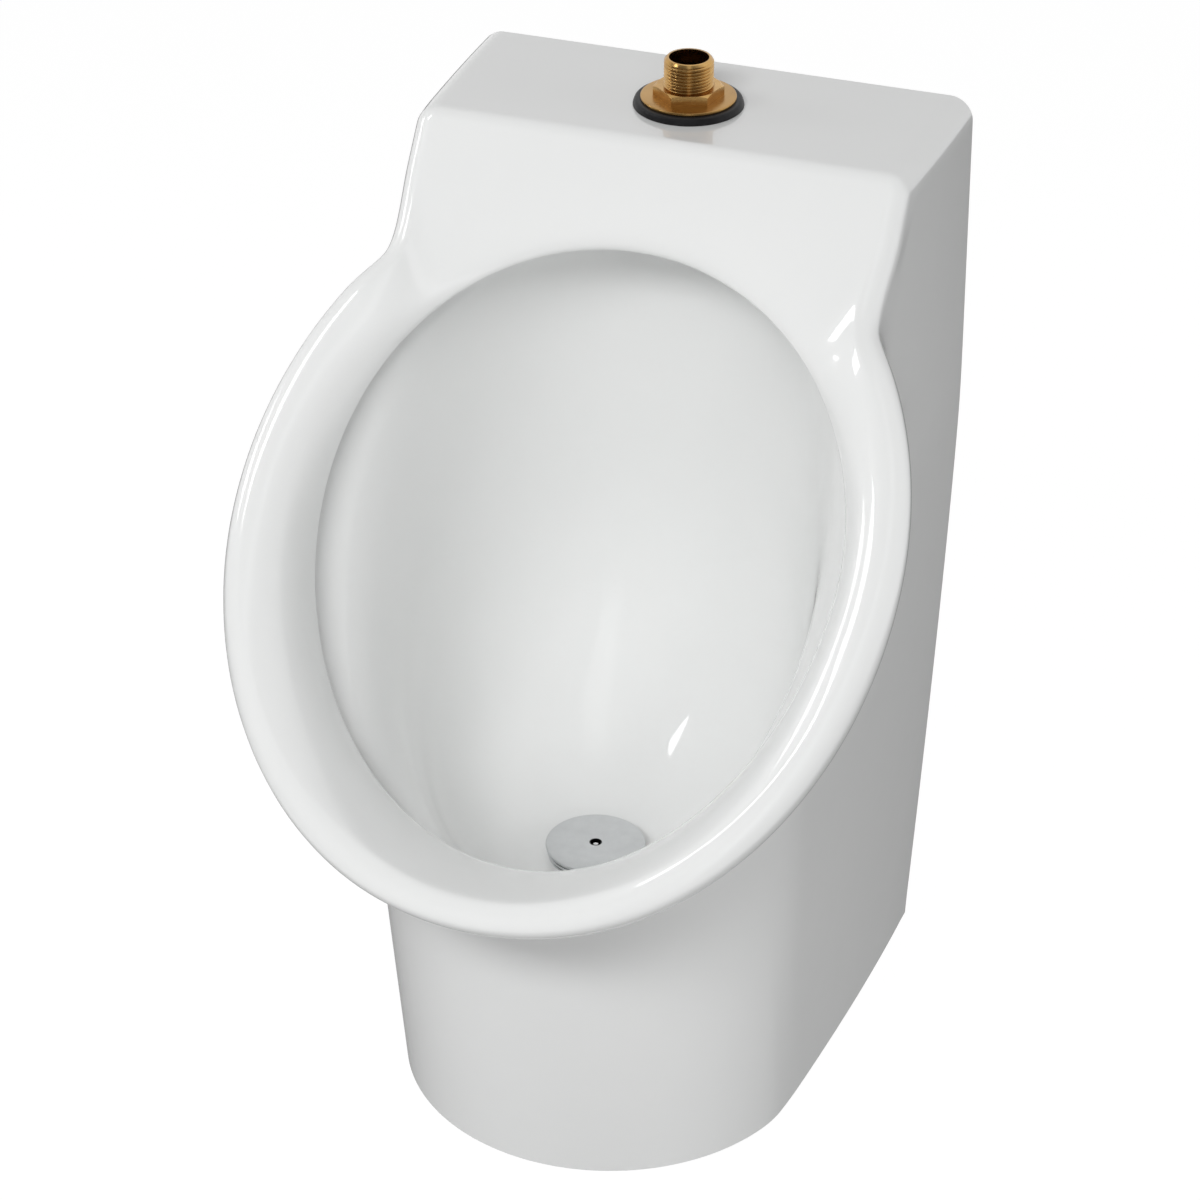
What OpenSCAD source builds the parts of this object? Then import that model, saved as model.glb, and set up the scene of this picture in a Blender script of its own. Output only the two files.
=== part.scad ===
// Wall-hung urinal: vitreous china body with an oval rolled rim, a brass top
// inlet spud, a round strainer in the bowl, a rear outlet flange and two wall hangers.
// Origin: middle of the back at the lowest edge. X to the right, Y towards the wall,
// Z up. The wall is the plane y = 0 and the urinal stands in front of it (y < 0).

/* [China column] */
// Overall height of the china
body_h = 533.4; // [500:0.1:560]
// Widest half width of the back, measured at the wall
widest_half = 141.2; // [132:0.1:150]
// Distance of that widest place below the top
widest_drop = 170.4; // [140:0.1:210]
// Half width of the back at the bottom edge
base_half = 124.9; // [115:0.1:132]
// Half width of the back at the top
top_half = 139.5; // [132:0.1:145]
// How much each side has drawn in, 100 mm forward of the wall
side_draw = 3.6; // [2:0.1:5]
// Depth of the flat top, from the wall to the front edge
top_depth = 108.3; // [95:0.1:125]
// Lean of the front above the opening, from vertical
face_lean = 36.8; // [32:0.1:40]
// Radius of the long edges beside the top
top_corner_r = 13; // [11:0.5:18]
// Radius of the soft edge around the front face
face_edge_r = 11; // [8:0.5:11]
// Depth of the base, from the wall to the front
base_depth = 294.5; // [270:0.1:310]
// How far the front comes forward for every mm of height
front_draft = 0.107; // [0.06:0.001:0.14]
// Rise of the rounded front over its chord
bow_rise = 86.5; // [76:0.5:92]

/* [Rim] */
// Half width of the line that the rolled rim turns about
rim_half = 166; // [155:0.5:172]
// Half length of that line, along its lean
rim_long = 196.3; // [180:0.1:205]
// Lean of the rim from vertical
rim_lean = 46.9; // [42:0.1:51]
// Distance of the rim's middle from the wall
rim_y = 254.1; // [240:0.1:265]
// Distance of the rim's middle below the top
rim_drop = 157.3; // [145:0.1:172]
// Radius of the rolled edge
rim_r = 12; // [9:0.5:14]
// How far the front lip is drawn back towards the wall
lip_back = 12; // [5:1:30]
// How far the front lip dips
lip_dip = 13; // [3:1:20]
// Lean of the lip's crown at the sides, from vertical
crown_lean = 46; // [38:1:54]
// Lean of the lip's crown at the front
crown_front = -11; // [-20:1:0]
// Length of the sweep under the rim at the sides
under_side = 90; // [76:1:96]
// Length of the sweep under the rim at the front
under_front = 64; // [48:1:70]

/* [Opening and bowl] */
// Half width of the opening
mouth_half = 140.6; // [130:0.1:146]
// Depth of the opening's top edge from the wall
mouth_top_y = 134.7; // [128:0.1:142]
// Distance of the opening's top edge below the top
mouth_top_drop = 52; // [48:0.1:58]
// Depth of the opening's front edge from the wall
mouth_front_y = 332.4; // [320:0.1:340]
// Distance of the opening's front edge below the top
mouth_front_drop = 310.7; // [303:0.1:319]
// How deep the opening's top edge has rolled in under the front face
mouth_sink = 10; // [6:0.5:14]
// How much fuller the upper half of the opening is
mouth_egg = 0.05; // [0:0.01:0.1]
// Distance of the bowl's back wall from the wall
bowl_back_y = 62; // [56:1:75]
// Half width of the bowl at its middle height
bowl_half = 106; // [100:1:108]
// Distance of the drain from the wall
drain_y = 201.4; // [192:0.1:210]
// Distance of the bowl's floor below the top
floor_drop = 387.4; // [383:0.1:393]
// Radius of the flat floor around the drain
well_r = 38; // [34:0.5:44]
// Thickness of the china
china_t = 10; // [9:0.5:12]
// Height of the solid bottom under the hollow back
bottom_t = 12; // [10:0.5:18]
// Distance of the top of the hollow back below the top
hollow_drop = 131.4; // [128:0.1:143]

/* [Inlet spud] */
// Distance of the spud from the wall
spud_y = 58.3; // [52:0.1:64]
// Outside diameter of the inlet's 3/4 inch pipe thread
spud_d = 26.44; // [20:0.01:34]
// Outside diameter of the shank below it, which the locknut turns on
shank_d = 27.2; // [26.8:0.1:29]
// Wall of the spud's tube at the thread
spud_wall = 2.6; // [2:0.1:3.5]
// Thread left standing above the locknut
spud_rise = 15.5; // [10:0.5:25]
// Diameter of the hole in the china
spud_hole_d = 35; // [34:0.5:40]
// Diameter of the flange on the tube's lower end
spud_foot_d = 33; // [31:0.5:33.5]
// Thickness of that flange
spud_foot_t = 3; // [2:0.5:4]
// Diameter of the rubber gasket on top of the china
gasket_d = 59.3; // [54:0.1:62]
// Thickness of the rubber gasket
gasket_t = 3.8; // [2.5:0.1:5]
// Diameter of the brass friction ring
ring_d = 51; // [44:0.5:53]
// Thickness of the friction ring
ring_t = 1.7; // [1:0.1:2.5]
// Locknut measured across its corners
nut_corner_d = 37.7; // [35:0.1:42]
// Height of the locknut
nut_h = 5.7; // [4:0.1:9]

/* [Strainer] */
// Diameter of the drain passage
drain_d = 48; // [44:0.5:50]
// Diameter of the strainer's cover
cover_d = 55; // [50:0.5:60]
// Thickness of the cover
cover_t = 2; // [1.5:0.1:3]
// Diameter of the slotted ring under the cover
sieve_d = 53.6; // [48:0.1:55]
// Thickness of the slotted ring and of the base's flange
sieve_t = 1.3; // [1:0.1:2]
// Height of each row of slots
slot_h = 1.5; // [1:0.1:2.5]
// Ribs between the slots
slot_ribs = 8; // [6:1:10]
// Diameter of the strainer screw
screw_d = 4; // [3.5:0.1:5]
// Diameter of the screw's head
screw_head_d = 5.8; // [5.2:0.1:7]

/* [Outlet] */
// Distance of the outlet's middle below the bowl's floor
outlet_drop = 48; // [46:0.5:54]
// Inside diameter of the flange's 2 inch pipe thread
outlet_thread_d = 58.2; // [56:0.1:60]
// Length of that thread
outlet_thread_l = 15; // [12:0.5:16]
// Diameter of the flange's hub
hub_d = 74; // [70:0.5:80]
// Distance of the hub's end from the wall
hub_gap = 1; // [0.5:0.5:3]
// Distance of the china's outlet face from the wall
outlet_face = 22; // [20:0.5:26]
// Thickness of the outlet gasket
outlet_gasket_t = 3; // [2:0.5:4]
// Thickness of the flange's plate
flange_t = 7; // [6:0.5:8]
// Spacing of the two outlet bolts
bolt_span = 96; // [92:1:104]
// Diameter of the outlet bolts
bolt_d = 8; // [6:1:8]

/* [Wall hangers] */
// Spacing of the two hangers
hanger_span = 160; // [140:1:170]
// Width of each hanger
hanger_w = 36; // [30:1:40]
// Thickness of the hanger's steel
hanger_t = 3; // [2.5:0.5:4]
// Distance below the top of the place where the china rests on the hangers
rest_drop = 63.4; // [60:0.1:71]
// Height of the hanger's wall plate
plate_h = 52; // [46:1:54]
// Spacing of the two screw holes in a wall plate
hanger_hole_span = 24; // [20:1:26]
// Diameter of those holes
hanger_hole_d = 6.5; // [5:0.1:7]

/* [Hidden] */

china_white = [0.93, 0.94, 0.93];
brass = [0.80, 0.60, 0.30];
black_rubber = [0.09, 0.09, 0.09];
satin_steel = [0.68, 0.69, 0.70];
bright_steel = [0.80, 0.80, 0.82];
cast_iron = [0.32, 0.32, 0.33];

// Running room of a turning or sliding fit, on the radius, and of a loose one
run = 0.06;
loose = 0.5;
// Room left under a piece that lifts off its seat
seat = 0.2;
// How far cuts run past a face, and how deep joined bodies sink into each other
past = 1;
sunk = 0.5;

// Heights that follow the top of the china
widest_z = body_h - widest_drop;
rim_z = body_h - rim_drop;
mouth_top_z = body_h - mouth_top_drop;
mouth_front_z = body_h - mouth_front_drop;
floor_z = body_h - floor_drop;
hollow_top = body_h - hollow_drop;
outlet_z = floor_z - outlet_drop;
rest_z = body_h - rest_drop;
notch_drop = 65.4;
notch_z = body_h - notch_drop;

// Stations around the opening, from the top middle down one side to the front lip
n_top = 8;
n_corner = 6;
n_side = 5;
n_back = 9;
n_base = 6;
n_bow = 14;
s_corner = n_top;
s_side = s_corner + n_corner;
s_rim = s_side + n_side;
s_base = s_rim + n_back;
s_bow = s_base + n_base;
s_front = s_bow + n_bow;
stations = 2 * s_front;

// Angles on the ovals where the stretches meet
a_corner = 29;
a_side = 36;
a_rim = 47;

function unit(v) = v / norm(v);
function mix(a, b, t) = a + (b - a) * t;
function ease(t) = t <= 0 ? 0 : t >= 1 ? 1 : t * t * (3 - 2 * t);
function bez(a, b, c, d, t) =
    a * pow(1 - t, 3) + b * 3 * t * pow(1 - t, 2) + c * 3 * t * t * (1 - t) + d * pow(t, 3);

// Half width of the flat side at a depth d from the wall and a height z
function side_x(d, z) =
    (z < widest_z
        ? widest_half - (widest_half - base_half) * pow((widest_z - z) / widest_z, 1.3)
        : mix(widest_half, top_half, (z - widest_z) / (body_h - widest_z)))
    - side_draw * pow(max(d, 0) / 100, 1.7);

// Front of the column at a height z, and the depth where its side turns into the bow
function front_d(z) = base_depth + front_draft * z;
function turn_d(z) = front_d(z) - bow_rise;
function bow_r(z) =
    let (c = side_x(turn_d(z), z))
    (c * c + bow_rise * bow_rise) / (2 * bow_rise);
function bow_a(z) = asin(side_x(turn_d(z), z) / bow_r(z));

// The column's upright skin: p runs from the wall (0) round the soft corner to the middle
// of the front (1)
turn_p = 0.6;
soft_p = 0.03;
function skin_raw(p, z) =
    p < turn_p
        ? let (d = turn_d(z) * p / turn_p) [side_x(d, z), -d, z]
        : let (a = bow_a(z) * (1 - p) / (1 - turn_p), r = bow_r(z))
            [r * sin(a), -(front_d(z) - r + r * cos(a)), z];
function skin(p, z) =
    abs(p - turn_p) >= soft_p ? skin_raw(p, z) :
    let (t = (p - turn_p + soft_p) / (2 * soft_p),
        a = skin_raw(turn_p - soft_p, z), k = skin_raw(turn_p, z), b = skin_raw(turn_p + soft_p, z))
    mix(mix(a, k, t), mix(k, b, t), t);

// Angle on the ovals at station i of one half
function oval_a(i) =
    i < s_corner ? a_corner * i / n_top :
    i < s_side ? mix(a_corner, a_side, (i - s_corner) / n_corner) :
    i < s_rim ? mix(a_side, a_rim, (i - s_side) / n_side) :
    mix(a_rim, 180, (i - s_rim) / (s_front - s_rim));

// How much the rim has taken over from the column's own edge
function rim_part(i) = ease((oval_a(i) - 40) / 16);
function front_part(i) = pow((1 - cos(oval_a(i))) / 2, 3);

// The column's outline across the back, with the height where each side station lies
function top_turn(i) = 90 - 90 * (i - s_corner) / n_corner;
function across(i, d, inset) =
    let (z_c = body_h - top_corner_r, x_c = side_x(d, z_c) - top_corner_r)
    i < s_corner ? [x_c * i / n_top, body_h - inset] :
    i < s_side ? [x_c + (top_corner_r - inset) * cos(top_turn(i)),
        z_c + (top_corner_r - inset) * sin(top_turn(i))] :
    let (z = mix(z_c, notch_z, (i - s_side) / n_side)) [side_x(d, z) - inset, z];
function across_n(i) =
    i < s_corner ? [0, 0, 1] :
    i < s_side ? [cos(top_turn(i)), 0, sin(top_turn(i))] : [1, 0, 0];

// The line that the front edge turns about: the column's edge above, the rim below
function face_d(z, inset) = top_depth + tan(face_lean) * (body_h - z) - inset / cos(face_lean);
function column_edge(i) =
    let (xz = across(min(i, s_rim), top_depth, face_edge_r),
        z = i > s_rim ? rim_edge(i)[2] : xz[1],
        d = face_d(z, face_edge_r))
    [i > s_rim ? side_x(d, z) - face_edge_r : xz[0], -d, z];
function rim_edge(i) =
    let (a = oval_a(i), f = front_part(i), v = rim_long * cos(a))
    [rim_half * sin(a), -rim_y + v * sin(rim_lean) + lip_back * f,
        rim_z + v * cos(rim_lean) - lip_dip * f];
function edge_c(i) = mix(column_edge(i), rim_edge(i), rim_part(i));
function tube_part(i) = ease((oval_a(i) - 40) / 44);
function edge_r(i) = mix(face_edge_r, rim_r, tube_part(i));

// Crown normal and outward normal of that edge
function crown(i) =
    let (l = mix(crown_lean, crown_front, front_part(i)),
        side = [0, -cos(90 - l), sin(90 - l)],
        face = [0, -cos(face_lean), sin(face_lean)])
    unit(mix(face, side, tube_part(i)));
function outward(i) =
    let (a = oval_a(i), rim_n = unit([sin(a) / rim_half, sin(rim_lean) * cos(a) / rim_long,
            cos(rim_lean) * cos(a) / rim_long]),
        n = crown(i), o = unit(mix(across_n(min(i, s_rim)), rim_n, rim_part(i))))
    rim_part(i) <= 0 ? o : unit(o - n * (o * n) * rim_part(i));

// The opening's edge and the way the surface leaves it into the bowl
function mouth(i) =
    let (a = oval_a(i), t = cos(a))
    [mouth_half * sin(a) * (1 + mouth_egg * t),
        -mix(mouth_front_y, mouth_top_y, (1 + t) / 2), mix(mouth_front_z, mouth_top_z, (1 + t) / 2)]
    + mouth_lift(i);
function mouth_lift(i) =
    let (share = (1 + cos(oval_a(i))) / 2)
    [0, -cos(face_lean), sin(face_lean)] * mouth_sink * (share - pow(share, 3));
mouth_splay = 0.1;
function mouth_dir(i) = unit(-crown(i) - outward(i) * mouth_splay * rim_part(i));

// Where the sweep under the rim lands on the column's skin, as [p, z]
function landing(i) =
    let (g = edge_c(i) - crown(i) * mix(under_side, under_front, front_part(i)),
        z = g[2], d = -g[1], c = front_d(z) - bow_r(z), a = atan2(g[0], d - c))
    [d < turn_d(z) ? turn_p * d / turn_d(z) : a < bow_a(z) ? 1 - (1 - turn_p) * a / bow_a(z) : turn_p, z];
function foot(i) =
    i < s_rim ? [0, 0] :
    i < s_base ? [0, mix(wall_z(s_rim), 0, (i - s_rim) / n_back)] :
    i < s_bow ? [mix(0, turn_p, (i - s_base) / n_base), 0] :
    [mix(turn_p, 1, (i - s_bow) / n_bow), 0];
edge_back = 14;
function wall_z(i) = mix(body_h - top_corner_r, notch_z - edge_back, (i - s_side) / n_side);

// A point on the outer skin between the sweep under the rim (t = 0) and its foot (t = 1)
function upper_d(i, t) = mix(-edge_c(i)[1] - edge_back, 0, t);
function skin_path(i, t) =
    i <= s_side ? let (d = upper_d(i, t), xz = across(i, d, 0)) [xz[0], -d, xz[1]] :
    i < s_rim ?
        let (l = landing(i), w = rim_part(i), low = skin(l[0], l[1]),
            d = mix(mix(-edge_c(i)[1] - edge_back, -low[1], w), 0, t),
            z = mix(mix(across(i, 0, 0)[1], low[2], w), wall_z(i), t))
        [side_x(d, z), -d, z] :
    let (l = landing(i), e = foot(i), w = rim_part(i),
        lw = i > s_rim + 3 ? l : [mix(turn_p * (-edge_c(i)[1] - edge_back) / turn_d(l[1]), l[0], w), l[1]],
        q = mix(lw, e, t))
    skin(q[0], q[1]);

// Rows of the outer skin, from the wall to the opening's edge
path_t = [1, 0.75, 0.5, 0.25, 0];
under_t = [0.8, 0.6, 0.42, 0.26, 0.12];
roll_t = [0, 0.2, 0.4, 0.6, 0.8, 1];
band_t = [0.2, 0.4, 0.6, 0.8, 1];

sweep_out = 34;
sweep_tight = 0.6;
sweep_in = 30;
function sweep_under(i, t) =
    let (w = rim_part(i), r = edge_r(i), q = edge_c(i) + outward(i) * r, e = skin_path(i, 0),
        on = skin_path(i, 0.05), back = unit(mix(unit(e - q), -crown(i), w)),
        h0 = mix(norm(e - q) / 3, sweep_out * (1 - sweep_tight * front_part(i)), w),
        h1 = mix(norm(e - q) / 3, sweep_in, w))
    bez(q, q + back * h0, e - unit(on - e) * h1, e, t);
// The roll is lower beside the notches, where the rim grows out of the front face
rise_from = 38;
rise_to = 108;
rise_dip = 0.4;
function roll_rise(i) =
    let (a = oval_a(i), s = sin(180 * (a - rise_from) / (rise_to - rise_from)))
    a > rise_from && a < rise_to ? 1 - rise_dip * s * s : 1;
function roll(i, t) =
    let (n = crown(i), o = outward(i), p = unit(mix(o, n, t) + (o + n) * 0.17 * sin(180 * t)))
    edge_c(i) + edge_r(i) * (p + n * (p * n) * (roll_rise(i) - 1));
curl_top = 10;
curl_side = 9;
curl_front = 5;
function band(i, t) =
    let (n = crown(i), o = outward(i), a = roll(i, 1), b = mouth(i),
        flat = unit(unit(b - a) - n * (n * unit(b - a))), l = norm(b - a),
        curl = mix(mix(curl_top, curl_side, rim_part(i)), curl_front, front_part(i)))
    bez(a, a + flat * l / 2, b - mouth_dir(i) * curl, b, t);

// The bowl: rings lofted between a back profile, a front profile and a half width. Each is
// given as shares of the way from the drain's floor to the opening, or to the bowl's back.
bowl_back = concat([[-mouth_top_y, mouth_top_z]], [for (q = [[0.552, 1.006], [0.217, 0.962],
    [0.04, 0.833], [0, 0.628], [0.04, 0.393], [0.237, 0.202], [0.621, 0.076], [1, 0]])
    [-mix(bowl_back_y, drain_y - well_r, q[0]), mix(floor_z, mouth_top_z, q[1])]]);
bowl_front = [for (q = [[1, 1], [0.931, 0.821], [0.824, 0.652], [0.705, 0.495], [0.566, 0.352],
    [0.426, 0.235], [0.286, 0.143], [0.135, 0.052], [0, 0]])
    [-mix(drain_y + well_r, mouth_front_y, q[0]), mix(floor_z, mouth_front_z, q[1])]];
bowl_side = concat([for (q = [1, 0.96, 0.5, 0.2]) mix(bowl_half, mouth_half, q)],
    [for (q = [1, 0.882, 0.676, 0.368, 0]) mix(well_r, bowl_half, q)]);

function cubic(p, t) =
    let (n = len(p) - 1, k = min(floor(t * n), n - 1), u = t * n - k,
        a = p[k], b = p[k + 1], m0 = k > 0 ? (b - p[k - 1]) / 2 : b - a,
        m1 = k < n - 1 ? (p[k + 2] - a) / 2 : b - a)
    a * (2 * pow(u, 3) - 3 * u * u + 1) + m0 * (pow(u, 3) - 2 * u * u + u)
        + b * (3 * u * u - 2 * pow(u, 3)) + m1 * (pow(u, 3) - u * u);
function bowl_ring(i, s, grow) =
    let (a = oval_a(i), b = cubic(bowl_back, s), f = cubic(bowl_front, s), c = (b + f) / 2,
        h = (b - f) / 2 * (1 + grow / norm((b - f) / 2)),
        m = c + h * cos(a), e = mouth_egg * (1 - s))
    [(cubic(bowl_side, s) + grow) * sin(a) * (1 + e * cos(a)), m[0], m[1]] + mouth_lift(i) * pow(1 - s, 4);

bowl_rows = 16;
function row_count() = len(path_t) + len(under_t) + len(roll_t) + len(band_t) + bowl_rows;
function skin_row(i) = concat(
    [for (t = path_t) skin_path(i, t)],
    [for (t = under_t) sweep_under(i, t)],
    [for (t = roll_t) roll(i, t)],
    [for (t = band_t) band(i, t)],
    [for (k = [1:bowl_rows]) bowl_ring(i, k / bowl_rows, 0)]);

function half_of(k) = k <= s_front ? k : stations - k;
function side_of(k) = k <= s_front ? 1 : -1;
function mirror_x(p, s) = [p[0] * s, p[1], p[2]];

// Solid with the whole outer skin and the bowl's inside: the skin's rows run from the
// wall and the base to the drain, and the base and the back are flat
module china_skin() {
    rows = row_count();
    n = stations;
    half = [for (i = [0:s_front]) skin_row(i)];
    pts = [for (k = [0:n - 1]) for (p = half[half_of(k)]) mirror_x(p, side_of(k))];
    low = [for (k = [s_base + 1:n - s_base - 1])
        [base_half * side_of(k) * (s_front - half_of(k)) / (s_front - s_base), 0, 0]];
    floor_mid = len(pts) + len(low);
    back_mid = floor_mid + 1;
    function at(k, j) = (k % n) * rows + j;
    function on_wall(k) = half_of(k % n) <= s_base ? at(k, 0) : len(pts) + k - s_base - 1;
    color(china_white) polyhedron(
        concat(pts, low, [[0, -drain_y, floor_z], [0, 0, body_h / 2]]),
        concat(
            [for (k = [0:n - 1]) for (j = [0:rows - 2])
                each [[at(k, j), at(k + 1, j + 1), at(k, j + 1)],
                    [at(k, j), at(k + 1, j), at(k + 1, j + 1)]]],
            [for (k = [0:n - 1]) [at(k, rows - 1), at(k + 1, rows - 1), floor_mid]],
            [for (k = [0:n - 1]) [back_mid, on_wall(k + 1), on_wall(k)]],
            [[on_wall(s_base), on_wall(s_base + 1), at(s_base + 1, 0)]],
            [for (k = [s_base + 1:n - s_base - 2])
                each [[on_wall(k), on_wall(k + 1), at(k, 0)],
                    [on_wall(k + 1), at(k + 1, 0), at(k, 0)]]],
            [[on_wall(n - s_base - 1), on_wall(n - s_base), at(n - s_base - 1, 0)]]),
        convexity = 8);
}

// Closed solid from rings of equal length, listed from the outermost or highest inward
module lofted(rings) {
    m = len(rings[0]);
    r = len(rings);
    pts = [for (q = rings) each q];
    function mid(q) = [for (a = [0:2]) [for (p = q) p[a]] * [for (p = q) 1] / m];
    polyhedron(concat(pts, [mid(rings[0]), mid(rings[r - 1])]), concat(
        [for (j = [0:r - 2]) for (k = [0:m - 1]) let (a = j * m, b = a + m, l = (k + 1) % m)
            each [[a + k, b + k, b + l], [a + k, b + l, a + l]]],
        [for (k = [0:m - 1]) [r * m, k, (k + 1) % m]],
        [for (k = [0:m - 1]) [r * m + 1, (r - 1) * m + (k + 1) % m, (r - 1) * m + k]]),
        convexity = 6);
}

// Outside of the bowl's wall, and the hollow in which it hangs
bowl_wall_rings = 9;
bowl_wall_step = 2;
module bowl_outside() {
    lofted([for (q = [0:bowl_wall_rings])
        let (s = mix(0.1, 1, q / bowl_wall_rings))
        [for (k = [0:bowl_wall_step:stations - 1])
            let (p = mirror_x(bowl_ring(half_of(k), s, china_t * 1.1), side_of(k)))
            [p[0], p[1], p[2] - china_t * s]]]);
}

// Each level of the hollow, from the top: its share of the height, how deep it runs and how
// much thicker the side is, as a share of the china's thickness
hollow_levels = [[1, 0.4, 0.8], [0.636, 0.5, 0.5], [0.482, 0.66, 0.2], [0.359, 0.95, 0],
    [0.303, 1, 0], [0.149, 1, 0], [0, 1, 0]];
hollow_p = [for (p = [0:0.1:1]) p];
module hollow() {
    lofted([for (l = hollow_levels)
        let (z = mix(bottom_t, hollow_top, l[0]), t = china_t * (1 + l[2]), w = side_x(0, z),
            half = [for (p = hollow_p) let (q = skin(p, z))
                [q[0] * (1 - t / w), min(q[1] + t, 0) * l[1], z]],
            n = len(half))
        concat([[half[0][0], past, z]], half,
            [for (k = [n - 2:-1:0]) mirror_x(half[k], -1)], [[-half[0][0], past, z]])]);
}

// Flush chamber above and behind the bowl, fed by the spud, with the rim holes under it
chamber_w = 230;
chamber_wall = 13;
chamber_roof = body_h - china_t;
chamber_floor = mouth_top_z + chamber_wall;
riser_w = 92;
riser_gap = 24;
riser_low = hollow_top + riser_gap;
rim_holes = 5;
rim_hole_d = 8;
rim_hole_span = 80;
rim_hole_back = 22;
rim_hole_drop = 18;
rim_hole_low = mouth_top_z - rim_hole_drop;
module flush_chamber() {
    wall = china_t / cos(face_lean);
    translate([-chamber_w / 2, 0, 0]) rotate([90, 0, 90]) linear_extrude(chamber_w)
        polygon([[-chamber_wall, chamber_floor], [-chamber_wall, chamber_roof],
            [wall - face_d(chamber_roof, 0), chamber_roof],
            [wall - face_d(chamber_floor, 0), chamber_floor]]);
    translate([-riser_w / 2, china_t - bowl_back_y, riser_low])
        cube([riser_w, bowl_back_y - china_t - chamber_wall, chamber_floor - riser_low + past]);
    for (k = [0:rim_holes - 1])
        translate([(k / (rim_holes - 1) - 0.5) * rim_hole_span, -mouth_top_y + rim_hole_back, rim_hole_low])
            cylinder(d = rim_hole_d, h = chamber_floor - rim_hole_low + past);
}

// Outlet horn: from the drain through an elbow to the face behind
horn_wall = 9;
horn_d = drain_d + 2 * horn_wall;
horn_bend = 34;
horn_lobe_r = 15;
boss_t = 14;
module horn(d, back) {
    translate([0, -drain_y, outlet_z + horn_bend]) cylinder(d = d, h = outlet_drop - horn_bend + past);
    translate([0, -drain_y + horn_bend, outlet_z + horn_bend])
        rotate([90, 0, 90]) rotate([0, 0, 180]) rotate_extrude(angle = 90)
            translate([horn_bend, 0]) circle(d = d);
    translate([0, -back, outlet_z]) rotate([90, 0, 0])
        cylinder(d = d, h = drain_y - horn_bend - back);
}

// Plate shared by the china's boss and the flange: a round middle with two bolt lobes
module eared_plate(d, y, t) {
    translate([0, -y, outlet_z]) rotate([90, 0, 0]) {
        cylinder(d = d, h = t);
        for (s = [-1, 1]) translate([s * bolt_span / 2, 0, 0]) cylinder(r = horn_lobe_r, h = t);
        translate([-bolt_span / 2, -horn_lobe_r, 0]) cube([bolt_span, 2 * horn_lobe_r, t]);
    }
}
module at_bolts(y) {
    for (s = [-1, 1]) translate([s * bolt_span / 2, -y, outlet_z]) rotate([90, 0, 0]) children();
}

// Pockets in the back where the hangers hook in
pocket_room = 4;
pocket_depth = 20;
hook_lip = 9;
hook_rise = 14;
module hanger_pocket() {
    w = hanger_w + 2 * pocket_room;
    translate([-w / 2, -pocket_depth, rest_z - plate_h - 2 * pocket_room])
        cube([w, pocket_depth + past, plate_h + 2 * pocket_room]);
    translate([-w / 2, -pocket_depth, rest_z - past])
        cube([w, pocket_depth - hook_lip, hook_rise + pocket_room]);
}

module china_body() {
    color(china_white) difference() {
        china_skin();
        difference() {
            hollow();
            bowl_outside();
            horn(horn_d, outlet_face);
            eared_plate(hub_d, outlet_face, boss_t);
        }
        flush_chamber();
        horn(drain_d, outlet_face - past);
        at_bolts(outlet_face - past) cylinder(d = bolt_d + 2 * loose, h = boss_t + 2 * past);
        translate([0, -spud_y, body_h - china_t - past]) cylinder(d = spud_hole_d, h = china_t + 2 * past);
        for (s = [-1, 1]) translate([s * hanger_span / 2, 0, 0]) hanger_pocket();
    }
}

// Brass tube with a pipe thread, held up by the flange on its lower end
gasket_neck = 6;
gasket_bulge = 3;
spud_low = body_h - china_t - gasket_neck;
nut_z = body_h + gasket_t + ring_t;
thread_z = nut_z + nut_h;
tube_h = spud_foot_t + thread_z - spud_low + spud_rise;
module spud_tube() {
    color(brass) translate([0, -spud_y, 0]) difference() {
        union() {
            translate([0, 0, spud_low - spud_foot_t]) cylinder(d = spud_foot_d, h = spud_foot_t);
            translate([0, 0, spud_low - sunk]) cylinder(d = shank_d, h = thread_z - spud_low + sunk);
            translate([0, 0, thread_z - sunk]) cylinder(d = spud_d, h = spud_rise + sunk);
        }
        translate([0, 0, spud_low - spud_foot_t - past])
            cylinder(d = spud_d - 2 * spud_wall, h = tube_h + 2 * past);
    }
}

// Rubber gasket: a flat top on the china, a neck through the hole and the part that the
// flange squeezes wide below
module spud_gasket() {
    color(black_rubber) translate([0, -spud_y, 0]) difference() {
        union() {
            translate([0, 0, body_h]) cylinder(d = gasket_d, h = gasket_t);
            translate([0, 0, spud_low]) cylinder(d = spud_hole_d, h = body_h - spud_low + sunk);
            translate([0, 0, spud_low]) cylinder(d = spud_hole_d + 2 * gasket_bulge, h = gasket_neck);
        }
        translate([0, 0, spud_low - past]) cylinder(d = shank_d, h = nut_z - spud_low + 2 * past);
    }
}

module spud_friction_ring() {
    color(brass) translate([0, -spud_y, body_h + gasket_t]) difference() {
        cylinder(d = ring_d, h = ring_t);
        translate([0, 0, -past]) cylinder(d = shank_d + 2 * run, h = ring_t + 2 * past);
    }
}

// Thin hexagonal nut with its corners turned off at the top
module spud_locknut() {
    flat_r = nut_corner_d / 2 * cos(30);
    color(brass) translate([0, -spud_y, nut_z]) difference() {
        intersection() {
            cylinder(d = nut_corner_d, h = nut_h, $fn = 6);
            cylinder(r1 = nut_corner_d / 2 + nut_h * 1.6, r2 = flat_r, h = nut_h * 1.001, $fn = 96);
        }
        translate([0, 0, -past]) cylinder(d = shank_d + 2 * run, h = nut_h + 2 * past);
    }
}

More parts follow.
